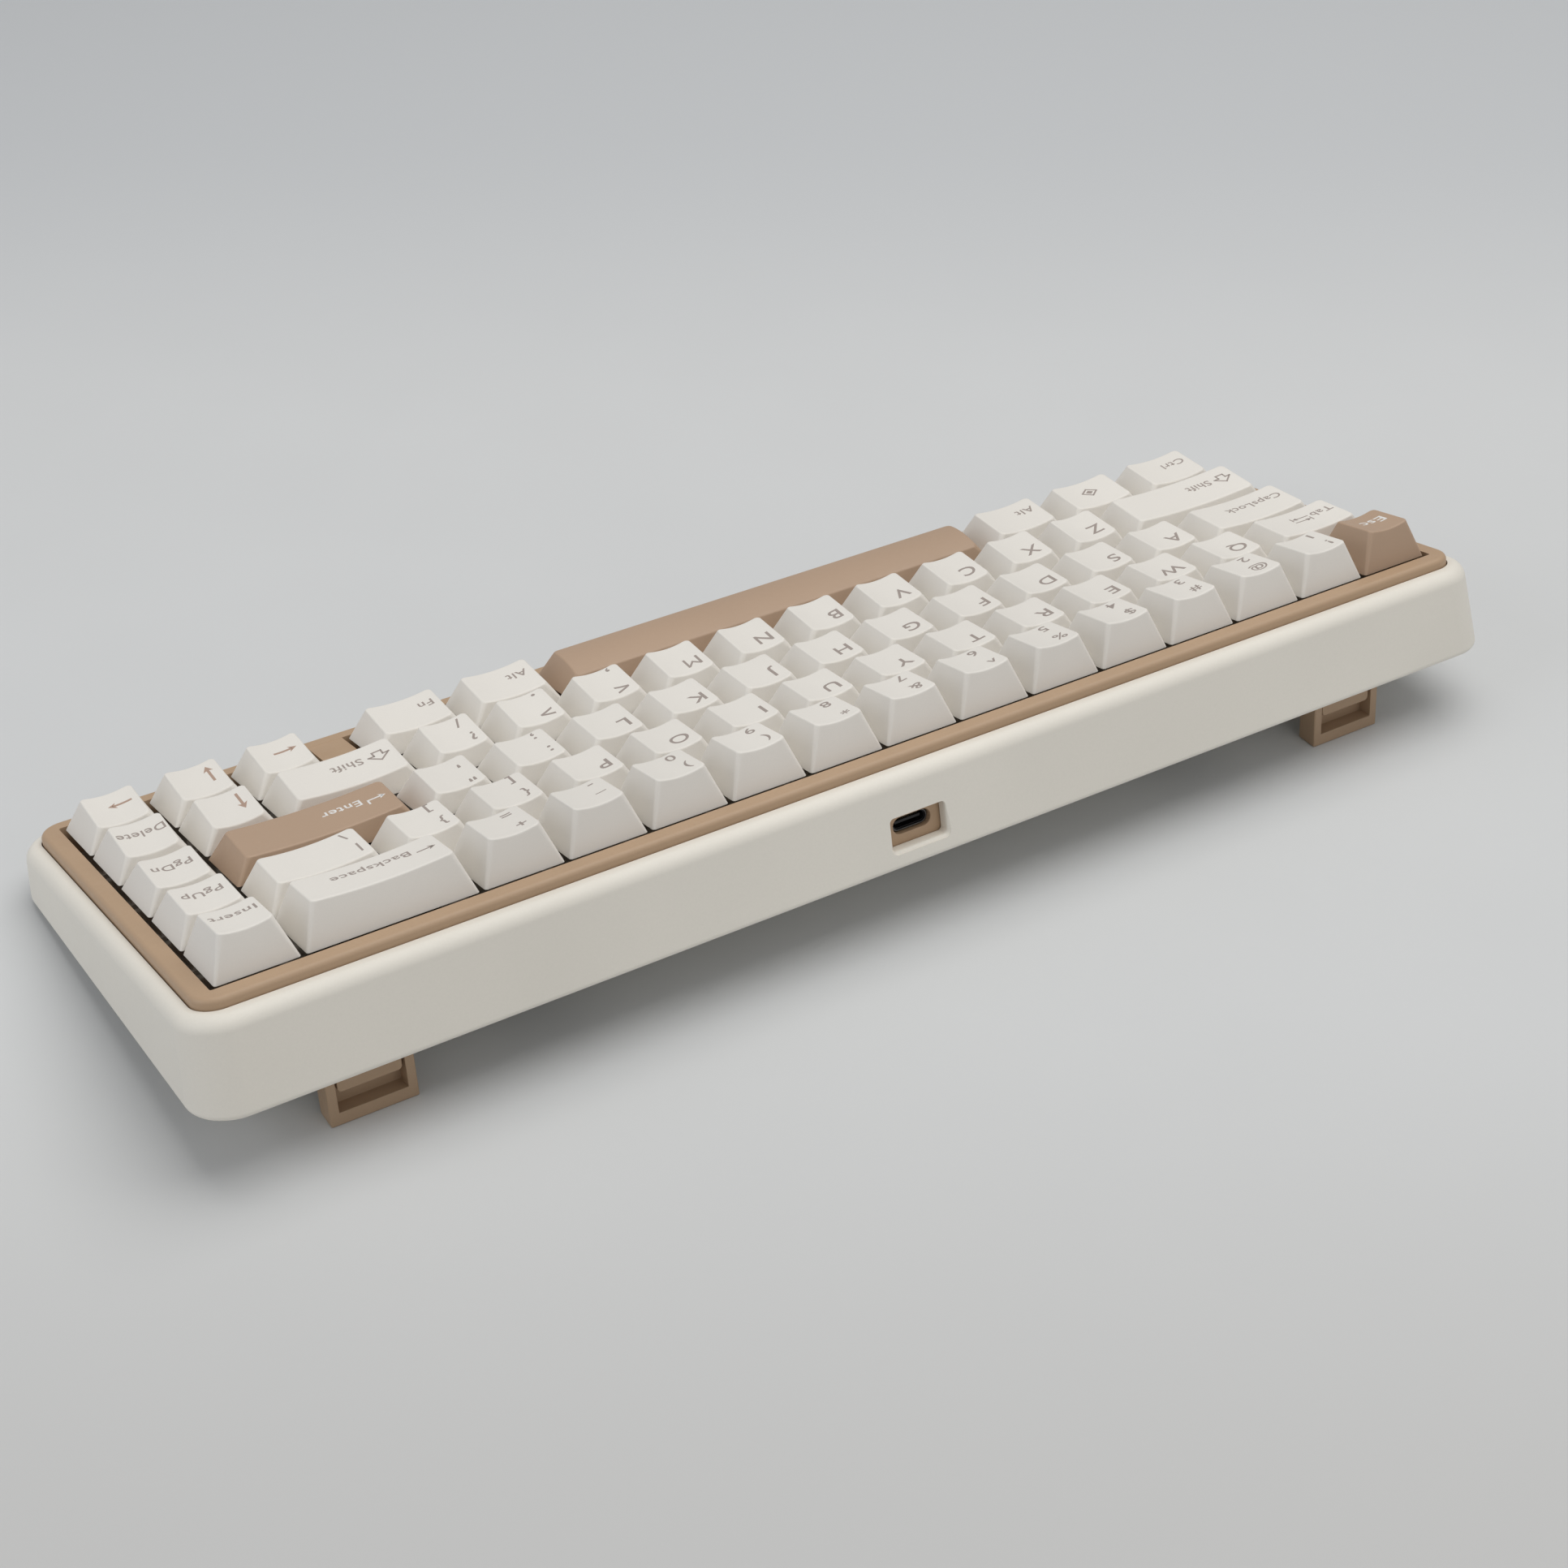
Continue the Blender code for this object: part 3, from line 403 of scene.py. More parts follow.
def make_case():
    bm = rounded_box(CASE_X, CASE_Y, (BOTTOM_AT_ORIGIN, CASE_TOP), CASE_CORNER, top=3.0,
                     bottom=1.5)
    halfway, middle_y = (BOTTOM_AT_ORIGIN + CASE_TOP) / 2, (CASE_Y[0] + CASE_Y[1]) / 2
    for vert in bm.verts:
        if vert.co.z < halfway:
            vert.co.z -= BOTTOM_SLOPE * vert.co.y
        lean = -CASE_FLARE * vert.co.z
        vert.co.x += math.copysign(lean, vert.co.x - MIDDLE_X)
        vert.co.y += math.copysign(lean, vert.co.y - middle_y)
    case = deck_object("case_shell", bm)
    gap = RIM + FIT
    cut(case, rounded_box((OPENING_X[0] - gap, OPENING_X[1] + gap),
                          (OPENING_Y[0] - gap, OPENING_Y[1] + gap),
                          (RIM_BOTTOM - FIT, 5.0), RIM_CORNER + FIT))
    deep = bmesh.new()
    x, y = (-2.5, DECK_WIDTH + 2.5), (-2.1, 97.0)
    hexahedron(deep, (*x, *y, bottom_plane(y[0]) + FLOOR, bottom_plane(y[1]) + FLOOR),
               (*x, *y, 0.0, 0.0))
    cut(case, deep)
    cut(case, new_box((MIDDLE_X - 15.7, MIDDLE_X + 15.7), (96.0, 102.6), (-19.6, -9.2)))
    blocks, bays, pins, bosses = bmesh.new(), bmesh.new(), bmesh.new(), bmesh.new()
    for middle in FOOT_MIDDLES:
        half = FOOT_WIDTH / 2 + 0.4
        sloped_box(blocks, (middle - half - BAY_WALL, middle + half + BAY_WALL),
                   (BAY_FRONT - BAY_WALL, 98.0), (0.5, BAY_DEPTH + 1.4))
        sloped_box(bays, (middle - half, middle + half), (BAY_FRONT, BAY_REAR), (-1.0, BAY_DEPTH))
        cylinder(pins, (middle, *LEFT_PIN[1:]), 1.5, 2 * (half + 1.7), "X")
    for x, y in SCREW_PLACES:
        cylinder(bosses, (x, y, bottom_plane(y) + 2.4), 5.0, 4.0, "Z")
    join(case, blocks)
    cut(case, bays)
    cut(case, pins)
    join(case, bosses)
    holes = bmesh.new()
    for x, y in SCREW_PLACES:
        cylinder(holes, (x, y, bottom_plane(y)), 3.6, 4.6, "Z", sides=40)
    cut(case, holes)
    cut(case, port_pocket())
    pads = bmesh.new()
    for x, y in pad_places().values():
        sloped_box(pads, (x[0] - FIT, x[1] + FIT), (y[0] - FIT, y[1] + FIT), (-1.0, 0.5))
    cut(case, pads)
    soften(case, 0.22, segments=2, angle=50.0)
    place(case, "case", "case", "case_white", ["outer_case"])


def port_pocket():
    """Cutter with rounded corners that flares where it meets the rear wall."""
    wall = CASE_Y[1] - CASE_FLARE * PORT_Z
    # (y, how far the section is grown)
    stations = [(101.0, 0.0), (wall - 0.7, 0.0), (wall - 0.4, 0.06), (wall - 0.15, 0.22),
                (wall + 0.1, 0.55), (wall + 2.0, 0.9)]
    bm = bmesh.new()
    loops = []
    for y, grow in stations:
        half_x, half_z, radius = 6.9 + grow, 3.8 + grow, 0.9 + grow
        outline = []
        for cx, cz, start in ((1, 1, 0), (-1, 1, 90), (-1, -1, 180), (1, -1, 270)):
            centre = (MIDDLE_X + cx * (half_x - radius), POCKET_Z + cz * (half_z - radius))
            outline += arc(centre, radius, start, start + 90, 6)
        loops.append([bm.verts.new((px, y, pz)) for px, pz in outline])
    for first, second in zip(loops, loops[1:]):
        for i in range(len(first)):
            j = (i + 1) % len(first)
            bm.faces.new((first[i], first[j], second[j], second[i]))
    bm.faces.new(loops[0])
    bm.faces.new(loops[-1])
    return bm


def make_rim():
    rim = deck_object("inner_rim", rounded_box(
        (OPENING_X[0] - RIM, OPENING_X[1] + RIM), (OPENING_Y[0] - RIM, OPENING_Y[1] + RIM),
        (RIM_BOTTOM, RIM_TOP), RIM_CORNER, top=RIM_TOP_ROUND))
    cut(rim, rounded_box(OPENING_X, OPENING_Y, (LEDGE_TOP, 2.0), 0.5, corner_segments=4))
    cut(rim, new_box((OPENING_X[0] + LEDGE, OPENING_X[1] - LEDGE),
                     (OPENING_Y[0] + LEDGE, OPENING_Y[1] - LEDGE),
                     (RIM_BOTTOM - 1.0, LEDGE_TOP + 0.5)))
    gap = (12.5 * PITCH + 0.58, 13 * PITCH - 0.58)
    join(rim, new_box(gap, (OPENING_Y[0] - 1.0, PITCH - 0.35), (PLATE_TOP + 0.4, RIM_TOP - 0.02)))
    soften(rim, 0.25, segments=2, angle=50.0)
    place(rim, "case", "rim", "frame_tan", ["inner_frame"])


# ---- port -------------------------------------------------------------------------------------------
def stadium(width, height, y0, y1):
    """Flat-oval prism along Y with the connector's outline."""
    half, radius = (width - height) / 2, height / 2
    outline = arc((MIDDLE_X + half, PORT_Z), radius, -90, 90, 14)
    outline += arc((MIDDLE_X - half, PORT_Z), radius, 90, 270, 14)
    return extruded([(x, y0, z) for x, z in outline], (0, y1 - y0, 0))


def make_port():
    low, high = deck_box("port_surround")
    surround = deck_object("port_surround_wall", new_box((low.x, high.x), (low.y, high.y),
                                                         (low.z, high.z)))
    cut(surround, stadium(PORT_SHELL[0] + 2 * FIT, PORT_SHELL[1] + 2 * FIT, low.y - 1.0, high.y + 1.0))
    soften(surround, 0.2, segments=3, angle=50.0)
    place(surround, "case", "rim", "frame_tan", ["port_surround"])

    low, high = deck_box("usb_c_port")
    shell = deck_object("port_shell", stadium(*PORT_SHELL, low.y, high.y))
    cut(shell, stadium(*PORT_MOUTH, low.y + 1.0, high.y + 1.0))
    soften(shell, 0.08, segments=2, angle=50.0)
    place(shell, "case", "steel", "steel", ["usb_c_port"])
    # A black sleeve lining the shell: a dark sheet standing in for the shade inside the port's mouth.
    liner = deck_object("port_painted_shade_liner", stadium(8.3, 2.62, low.y + 1.0, high.y - 0.5))
    cut(liner, stadium(7.9, 2.2, low.y + 1.6, high.y + 1.0))
    place(liner, "case", "insert")
    tongue = deck_object("port_tongue", new_box((MIDDLE_X - 3.3, MIDDLE_X + 3.3),
                                                (low.y + 1.2, high.y - 0.8),
                                                (PORT_Z - 0.35, PORT_Z + 0.35)))
    soften(tongue, 0.12, segments=3)
    place(tongue, "case", "insert")
    contacts = bmesh.new()
    for side in (-1, 1):
        for i in range(12):
            x = MIDDLE_X + (i - 5.5) * 0.5
            z = PORT_Z + side * 0.36
            box(contacts, (x - 0.13, x + 0.13), (low.y + 2.0, high.y - 1.3), (z - 0.03, z + 0.03))
    place(deck_object("port_contacts", contacts), "case", "gold")


# ---- pads, screws and feet ----------------------------------------------------------------------------
def pad_places():
    places = {}
    for node in ("front_left_pad", "front_right_pad", "rear_left_pad", "rear_right_pad"):
        low, high = deck_box(node)
        places[node] = ((low.x, high.x), (low.y, high.y))
    return places


def make_pads():
    for node, (x, y) in pad_places().items():
        if node.startswith("front"):
            low = (desk_plane(y[0]), desk_plane(y[1]))
        else:
            low = (bottom_plane(y[0]) - 1.6, bottom_plane(y[1]) - 1.6)
        bm = bmesh.new()
        hexahedron(bm, (*x, *y, *low), (*x, *y, bottom_plane(y[0]) + 0.2, bottom_plane(y[1]) + 0.2))
        upright = [e for e in bm.edges if abs(e.verts[0].co.z - e.verts[1].co.z) > 0.5
                   and abs(e.verts[0].co.y - e.verts[1].co.y) < 0.01]
        bmesh.ops.bevel(bm, geom=upright, offset=1.6, segments=6, profile=0.5, affect="EDGES")
        pad = deck_object(node + "_rubber", bm)
        soften(pad, 0.25, segments=3)
        place(pad, "case", "rubber", "rubber", [node])


def make_screws():
    """Countersunk cross-head screws in the wells under the case."""
    for i, (x, y) in enumerate(SCREW_PLACES):
        top = bottom_plane(y) + 2.2
        bm = bmesh.new()
        cylinder(bm, (x, y, top - 0.6), 2.2, 1.2, "Z", sides=36, top_radius=2.7)
        screw = deck_object(f"case_screw_{i + 1}", bm)
        for half_x, half_y in ((1.3, 0.28), (0.28, 1.3)):
            cut(screw, new_box((x - half_x, x + half_x), (y - half_y, y + half_y),
                               (top - 2.0, top - 0.5)))
        soften(screw, 0.1, segments=2)
        place(screw, "case", "screw", "steel")


FOOT_LEAN = math.radians(6.5)    # the unfolded feet lean forward from square to the deck
FOOT_FRONT, FOOT_REAR = 91.5, 97.0
SMALL_AXIS = (95.3, -23.3)


def lean(spot):
    """Turns a (y, z) place on an upright foot forward about the large foot's pin."""
    y, z = spot[0] - LEFT_PIN[1], spot[1] - LEFT_PIN[2]
    along, across = math.cos(FOOT_LEAN), math.sin(FOOT_LEAN)
    return LEFT_PIN[1] + y * along + z * across, LEFT_PIN[2] + z * along - y * across


def above_desk(y, z):
    leaned = lean((y, z))
    return leaned[1] - desk_plane(leaned[0])


def sole(y):
    """Height on the upright foot at y that stands on the desk once the foot leans."""
    far = -50.0
    high, low = above_desk(y, 0.0), above_desk(y, far)
    return far * high / (high - low)


def leaned_solid(outline, middle, half):
    return extruded([(middle - half, *lean(spot)) for spot in outline], (2 * half, 0, 0))


def make_feet():
    small_axis = lean(SMALL_AXIS)
    for side, middle in zip(("left", "right"), FOOT_MIDDLES):
        half, post, rail = FOOT_WIDTH / 2, 2.1, 3.0
        inner = half - post
        outline = [(FOOT_REAR, sole(FOOT_REAR))]
        outline += arc(LEFT_PIN[1:], FOOT_REAR - LEFT_PIN[1], 0, 140, 14)
        outline += [(FOOT_FRONT, LEFT_PIN[2] - 1.0), (FOOT_FRONT, sole(FOOT_FRONT))]
        large = deck_object(side + "_large_foot_frame", leaned_solid(outline, middle, half))
        soften(large, 0.4, segments=4)
        low, rear = sole(FOOT_REAR) + rail, FOOT_REAR + 1.0
        cut(large, leaned_solid([(93.3, low), (rear, low), (rear, -21.6), (93.3, -21.6)],
                                middle, inner))
        ridge = sole(FOOT_FRONT) + 3.2
        cut(large, leaned_solid([(91.0, ridge), (92.0, ridge), (92.0, ridge + 1.2),
                                 (91.0, ridge + 1.2)], middle, inner - 2.0))
        holes = bmesh.new()
        cylinder(holes, (middle, *small_axis), 1.1, 2 * (inner + 1.4), "X")
        cut(large, holes)
        pin = bmesh.new()
        cylinder(pin, (middle, *LEFT_PIN[1:]), 1.1, 2 * (half + 1.5), "X")
        join(large, pin)
        soften(large, 0.14, segments=3, angle=50.0)
        place(large, side + "_large_foot", "feet", "feet_tan", [side + "_large_foot"])

        y, thick, end, reach = SMALL_AXIS[0], 1.3, -30.7, 7.0
        slab = [(y + thick, end)] + arc(SMALL_AXIS, thick, 0, 180, 14) + [(y - thick, end)]
        bm = leaned_solid(slab, middle, reach)
        lower = [e for e in bm.edges if all(v.co.z < small_axis[1] - 6.0 for v in e.verts)
                 and abs(e.verts[0].co.x - e.verts[1].co.x) < 0.01]
        bmesh.ops.bevel(bm, geom=lower, offset=1.0, segments=5, profile=0.5, affect="EDGES")
        small = deck_object(side + "_small_foot_flap", bm)
        pin = bmesh.new()
        cylinder(pin, (middle, *small_axis), 0.8, 2 * (reach + 1.4), "X", sides=24)
        join(small, pin)
        soften(small, 0.22, segments=3, angle=50.0)
        place(small, side + "_small_foot", "feet", "feet_tan", [side + "_small_foot"])


# ---- keycaps -------------------------------------------------------------------------------------------
CAP_GAP = 1.15
CAP_TOP_INSET = 3.85
CAP_WALL = 1.2
CAP_ROOF = 1.1
DISH_DEPTH = 0.8
SPACE_CROWN = 0.9
BASE_RADIUS = 0.7                # upright corners at the skirt
CREST_RADIUS = 1.25              # and at the top
EDGE_ROUND = 0.42
HALF_CORNER = 4                  # segments in half a corner
# top edge of each row: (front y in the cell, front height, rear y in the cell, rear height)
PROFILES = {
    "number": (4.9, 9.5, 17.0, 9.8),
    "upper": (4.8, 7.5, 17.3, 6.7),
    "home": (5.2, 7.0, 17.9, 5.6),
    "lower": (5.6, 8.0, 17.8, 5.5),
}
# node: (row profile, what each of its caps says)
KEYS = {
    "key_left_ctrl": ("lower", ["Ctrl"]), "key_super": ("lower", ["<super>"]),
    "key_left_alt": ("lower", ["Alt"]), "key_space": ("lower", [""]),
    "key_right_alt": ("lower", ["Alt"]), "key_fn": ("lower", ["Fn"]),
    "key_left": ("lower", ["<left>"]), "key_down": ("lower", ["<down>"]),
    "key_right": ("lower", ["<right>"]),
    "key_left_shift": ("lower", ["<shift>Shift"]), "keys_z_x": ("lower", ["Z", "X"]),
    "keys_c_v": ("lower", ["C", "V"]), "keys_b_n": ("lower", ["B", "N"]),
    "keys_m_comma": ("lower", ["M", ",<"]), "keys_period_slash": ("lower", [".>", "/?"]),
    "key_right_shift": ("lower", ["<shift>Shift"]), "key_up": ("lower", ["<up>"]),
    "key_delete": ("lower", ["Delete"]),
    "key_caps_lock": ("home", ["CapsLock"]), "keys_a_s_d": ("home", ["A", "S", "D"]),
    "keys_f_g": ("home", ["F", "G"]), "keys_h_j": ("home", ["H", "J"]),
    "keys_k_l": ("home", ["K", "L"]), "keys_semicolon_quote": ("home", [";:", "'\""]),
    "key_enter": ("home", ["<enter>Enter"]), "key_page_down": ("home", ["PgDn"]),
    "key_tab": ("upper", ["Tab<tab>"]), "keys_q_w_e": ("upper", ["Q", "W", "E"]),
    "keys_r_t_y": ("upper", ["R", "T", "Y"]), "keys_u_i": ("upper", ["U", "I"]),
    "keys_o_p": ("upper", ["O", "P"]), "keys_brackets": ("upper", ["[{", "]}"]),
    "key_backslash": ("upper", ["\\|"]), "key_page_up": ("upper", ["PgUp"]),
    "key_esc": ("number", ["Esc"]), "keys_1_2_3": ("number", ["1!", "2@", "3#"]),
    "keys_4_5_6": ("number", ["4$", "5%", "6^"]), "keys_7_8_9": ("number", ["7&", "8*", "9("]),
    "keys_0_minus_equals": ("number", ["0)", "-_", "=+"]),
    "key_backspace": ("number", ["<back>Backspace"]), "key_insert": ("number", ["Insert"]),
}
TAN_KEYS = {"key_esc", "key_enter", "key_space"}


class Cap:
    """Place, slope and surface of one keycap."""

    def __init__(self, left, right, front, profile, crowned):
        self.left, self.right, self.front, self.crowned = left, right, front, crowned
        self.middle = (left + right) / 2
        self.y0, self.z0, self.y1, self.z1 = PROFILES[profile]
        self.y0 += front
        self.y1 += front
        self.across = max(8, round((right - left - 2 * CAP_TOP_INSET) / 1.1))
        self.along = 8

    def base(self, inset=0.0):
        edge = CAP_GAP / 2 + inset
        return self.left + edge, self.right - edge, self.front + edge, self.front + PITCH - edge

    def crest(self, inset=0.0):
        side = CAP_TOP_INSET + inset
        return self.left + side, self.right - side, self.y0 + inset, self.y1 - inset

    def slope(self, y):
        return self.z0 + (self.z1 - self.z0) * (y - self.y0) / (self.y1 - self.y0)

    def surface(self, x, y):
        """Height of the top: dished across for most keys, crowned along Y for the space bar."""
        if self.crowned:
            offset = (2 * y - self.y0 - self.y1) / (self.y1 - self.y0)
            return self.slope(y) - SPACE_CROWN * offset ** 2
        offset = (x - self.middle) / ((self.right - self.left) / 2 - CAP_TOP_INSET)
        return self.slope(y) - DISH_DEPTH * (1 - offset ** 2)

    def sides(self, rectangle, radius):
        """Front, right, rear and left points, each from mid-corner to mid-corner."""
        x0, x1, y0, y1 = rectangle
        centres = {(i, j): ((x0 + radius, x1 - radius)[i], (y0 + radius, y1 - radius)[j])
                   for i in (0, 1) for j in (0, 1)}

        def side(first, second, start, turn, steps):
            a = arc(centres[first], radius, start, start + turn, HALF_CORNER)
            b = arc(centres[second], radius, start + turn, start + 2 * turn, HALF_CORNER)
            straight = [(a[-1][0] + (b[0][0] - a[-1][0]) * k / steps,
                         a[-1][1] + (b[0][1] - a[-1][1]) * k / steps) for k in range(1, steps)]
            return a + straight + b

        return (side((0, 0), (1, 0), 225, 45, self.across),
                side((1, 0), (1, 1), -45, 45, self.along),
                side((0, 1), (1, 1), 135, -45, self.across),
                side((0, 0), (0, 1), 225, -45, self.along))

    def loop(self, rectangle, radius):
        front, right, rear, left = self.sides(rectangle, radius)
        return front + right[1:] + rear[::-1][1:] + left[::-1][1:-1]


def caps_of(node):
    """The caps in a node, from its box: they share its width evenly."""
    profile, words = KEYS[node]
    low, high = deck_box(node)
    left, right = low.x - CAP_GAP / 2, high.x + CAP_GAP / 2
    width = (right - left) / len(words)
    front = low.y - CAP_GAP / 2
    return [Cap(left + i * width, left + (i + 1) * width, front, profile, node == "key_space")
            for i in range(len(words))]


def bridge(bm, first, second):
    for i in range(len(first)):
        j = (i + 1) % len(first)
        bm.faces.new((first[i], first[j], second[j], second[i]))


def add_cap(bm, cap):
    base = cap.loop(cap.base(), BASE_RADIUS)
    crest = cap.loop(cap.crest(), CREST_RADIUS)
    inner_sides = cap.sides(cap.crest(EDGE_ROUND), CREST_RADIUS - EDGE_ROUND / 2)
    inner = cap.loop(cap.crest(EDGE_ROUND), CREST_RADIUS - EDGE_ROUND / 2)
    skirt = cap.loop(cap.base(0.12), BASE_RADIUS - 0.1)
    hollow = cap.loop(cap.base(CAP_WALL), 0.5)
    roof = cap.loop(cap.crest(CAP_WALL), 0.8)
    rings = [[Vector((x, y, cap.slope(y) - DISH_DEPTH - CAP_ROOF)) for x, y in roof],
             [Vector((x, y, 0.0)) for x, y in hollow],
             [Vector((x, y, 0.0)) for x, y in skirt],
             [Vector((x, y, 0.12)) for x, y in base]]
    foot = [Vector((x, y, 0.12)) for x, y in base]
    edge = [Vector((x, y, cap.surface(x, y))) for x, y in crest]
    lip = [e + (f - e).normalized() * EDGE_ROUND for e, f in zip(edge, foot)]
    for share in (0.35, 0.7):
        rings.append([f.lerp(p, share) for f, p in zip(foot, lip)])
    top = [Vector((x, y, cap.surface(x, y))) for x, y in inner]
    for step in range(6):
        s = step / 5
        rings.append([p * (1 - s) ** 2 + e * (2 * s * (1 - s)) + t * s ** 2
                      for p, e, t in zip(lip, edge, top)])
    loops = [[bm.verts.new(p) for p in ring] for ring in rings]
    for first, second in zip(loops, loops[1:]):
        bridge(bm, first, second)
    bm.faces.new(loops[0])
    fill_top(bm, cap, loops[-1], inner_sides)
    stem = 2.8
    y = cap.front + PITCH / 2
    box(bm, (cap.middle - stem, cap.middle + stem), (y - stem, y + stem),
        (-4.0, cap.slope(y) - DISH_DEPTH - CAP_ROOF + 0.1))


def fill_top(bm, cap, loop, sides):
    """Grid between the four sides of the top, lying on the cap's surface."""
    front, right, rear, left = sides
    nx, ny = len(front) - 1, len(left) - 1
    grid = {}
    for i in range(nx + 1):
        grid[i, 0] = loop[i]
        grid[i, ny] = loop[nx + ny + nx - i]
    for j in range(1, ny):
        grid[nx, j] = loop[nx + j]
        grid[0, j] = loop[nx + ny + nx + ny - j]
    corners = [Vector(front[0]), Vector(front[-1]), Vector(rear[0]), Vector(rear[-1])]
    for i in range(1, nx):
        for j in range(1, ny):
            u, v = i / nx, j / ny
            p = Vector(front[i]) * (1 - v) + Vector(rear[i]) * v
            p += Vector(left[j]) * (1 - u) + Vector(right[j]) * u
            p -= corners[0] * ((1 - u) * (1 - v)) + corners[1] * (u * (1 - v))
            p -= corners[2] * ((1 - u) * v) + corners[3] * (u * v)
            grid[i, j] = bm.verts.new((p.x, p.y, cap.surface(p.x, p.y)))
    for i in range(nx):
        for j in range(ny):
            bm.faces.new((grid[i, j], grid[i + 1, j], grid[i + 1, j + 1], grid[i, j + 1]))


def make_caps():
    for node in KEYS:
        tan = node in TAN_KEYS
        bm = bmesh.new()
        for cap in caps_of(node):
            add_cap(bm, cap)
        obj = deck_object("cap_" + node.replace("keys_", "").replace("key_", ""), bm)
        place(obj, node, "tan" if tan else "ivory", "caps_tan" if tan else "caps_ivory", [node])


# ---- legends -------------------------------------------------------------------------------------------
PLAIN_OUTLINE = "M"              # letters whose narrow inner angles can't take a thicker stroke
INK_RISE = 0.02                  # how far a legend stands out of its cap
INK_DEPTH = 0.12
LETTER, PAIR, WORD, ESCAPE = 3.5, 2.75, 2.3, 2.9       # heights of capitals
STROKE = 0.42
LETTER_LEFT = 1.6                # distances from the top's left edge
WORD_LEFT = 1.5
ICON_LEFT = 1.3
BASE_LEFT, SHIFTED_LEFT = 2.2, 1.65
LETTER_BASE = 5.7                # baselines, from the top's rear edge
WORD_BASE = 8.4
SHIFTED_BASE = 4.7
BASE_FROM_FRONT = 1.15           # from the top's front edge
SIGN_SCALES = {"<": 1.4, ">": 1.4, ".": 1.45, ",": 1.35, ";": 1.2, ":": 1.25, "'": 1.25,
               '"': 1.25, "/": 1.15, "?": 1.1}
THICKER_STROKE = 0.011
TURNS = {"<left>": 0.0, "<down>": math.pi / 2, "<right>": math.pi, "<up>": -math.pi / 2}
# bars and filled heads of the icons, in units of the icon's height from its lower left corner
ICONS = {
    "left": ([[(0.3, 0.5), (1.7, 0.5)]], [[(0.0, 0.5), (0.62, 0.16), (0.46, 0.5), (0.62, 0.84)]]),
    "back": ([[(0.3, 0.5), (1.7, 0.5)]], [[(0.0, 0.5), (0.68, 0.1), (0.5, 0.5), (0.68, 0.9)]]),
    "enter": ([[(1.8, 1.0), (1.8, 0.4), (0.3, 0.4)]],
              [[(0.0, 0.4), (0.68, 0.0), (0.5, 0.4), (0.68, 0.8)]]),
    "shift": ([[(0.45, 0.0), (0.45, 0.45), (0.0, 0.45), (0.8, 1.1), (1.6, 0.45), (1.15, 0.45),
                (1.15, 0.0), (0.45, 0.0)]], []),
    "tab": ([[(0.3, 0.85), (1.9, 0.85)], [(0.0, 0.55), (0.0, 1.15)],
             [(0.0, 0.15), (1.6, 0.15)], [(1.9, -0.15), (1.9, 0.45)]],
            [[(0.08, 0.85), (0.6, 0.58), (0.6, 1.12)], [(1.82, 0.15), (1.3, 0.42), (1.3, -0.12)]]),
    "super": ([[(0.8, 0.0), (0.0, 0.6), (0.8, 1.2), (1.6, 0.6), (0.8, 0.0)]],
              [[(0.8, 0.3), (1.2, 0.6), (0.8, 0.9), (0.4, 0.6)]]),
}


def text_shape(words):
    """Thin sheet of letters in the built-in typeface, its font size 1."""
    curve = bpy.data.curves.new("legend", "FONT")
    curve.body = words
    curve.size = 1.0
    curve.resolution_u = 4
    curve.extrude = 0.1
    curve.offset = 0.0 if words in PLAIN_OUTLINE else THICKER_STROKE
    curve.space_character = 1.08
    obj = bpy.data.objects.new("legend", curve)
    bpy.context.scene.collection.objects.link(obj)
    bpy.context.view_layer.update()
    graph = bpy.context.evaluated_depsgraph_get()
    bm = bmesh.new()
    bm.from_mesh(obj.evaluated_get(graph).to_mesh())
    bpy.data.objects.remove(obj)
    return bm


def capital_height():
    bm = text_shape("H")
    ys = [v.co.y for v in bm.verts]
    bm.free()
    return max(ys) - min(ys)


CAPITAL = capital_height()


def written(words, height, stretch=1.18):
    """Letters from x = 0 with their baseline at y = 0."""
    bm = text_shape(words)
    scale = height / CAPITAL
    left = min(v.co.x for v in bm.verts)
    for vert in bm.verts:
        vert.co.x = (vert.co.x - left) * scale * stretch
        vert.co.y *= scale
    bmesh.ops.remove_doubles(bm, verts=bm.verts, dist=0.001)
    return bm


def drawn(icon, height, width, turn=0.0):
    """Icon of bars and filled shapes, with its lower left corner at the origin."""
    bm = bmesh.new()
    strokes, fills = ICONS[icon]
    shapes = [[Vector((x * height, y * height, 0)) for x, y in fill] for fill in fills]
    for stroke in strokes:
        points = [Vector((x * height, y * height, 0)) for x, y in stroke]
        for a, b in zip(points, points[1:]):
            along = (b - a).normalized() * width / 2
            aside = Vector((-along.y, along.x, 0))
            shapes.append([a - along + aside, a - along - aside, b + along - aside,
                           b + along + aside])
    for shape in shapes:
        append(bm, extruded([p + Vector((0, 0, -0.1)) for p in shape], (0, 0, 0.2)))
    bmesh.ops.rotate(bm, verts=bm.verts, cent=(0, 0, 0), matrix=Matrix.Rotation(turn, 3, "Z"))
    low_x, low_y = min(v.co.x for v in bm.verts), min(v.co.y for v in bm.verts)
    bmesh.ops.translate(bm, verts=bm.verts, vec=(-low_x, -low_y, 0))
    return bm


def width_of(bm):
    return max(v.co.x for v in bm.verts) - min(v.co.x for v in bm.verts)


def lay(target, bm, x, y):
    bmesh.ops.translate(bm, verts=bm.verts, vec=(x, y, 0))
    append(target, bm)


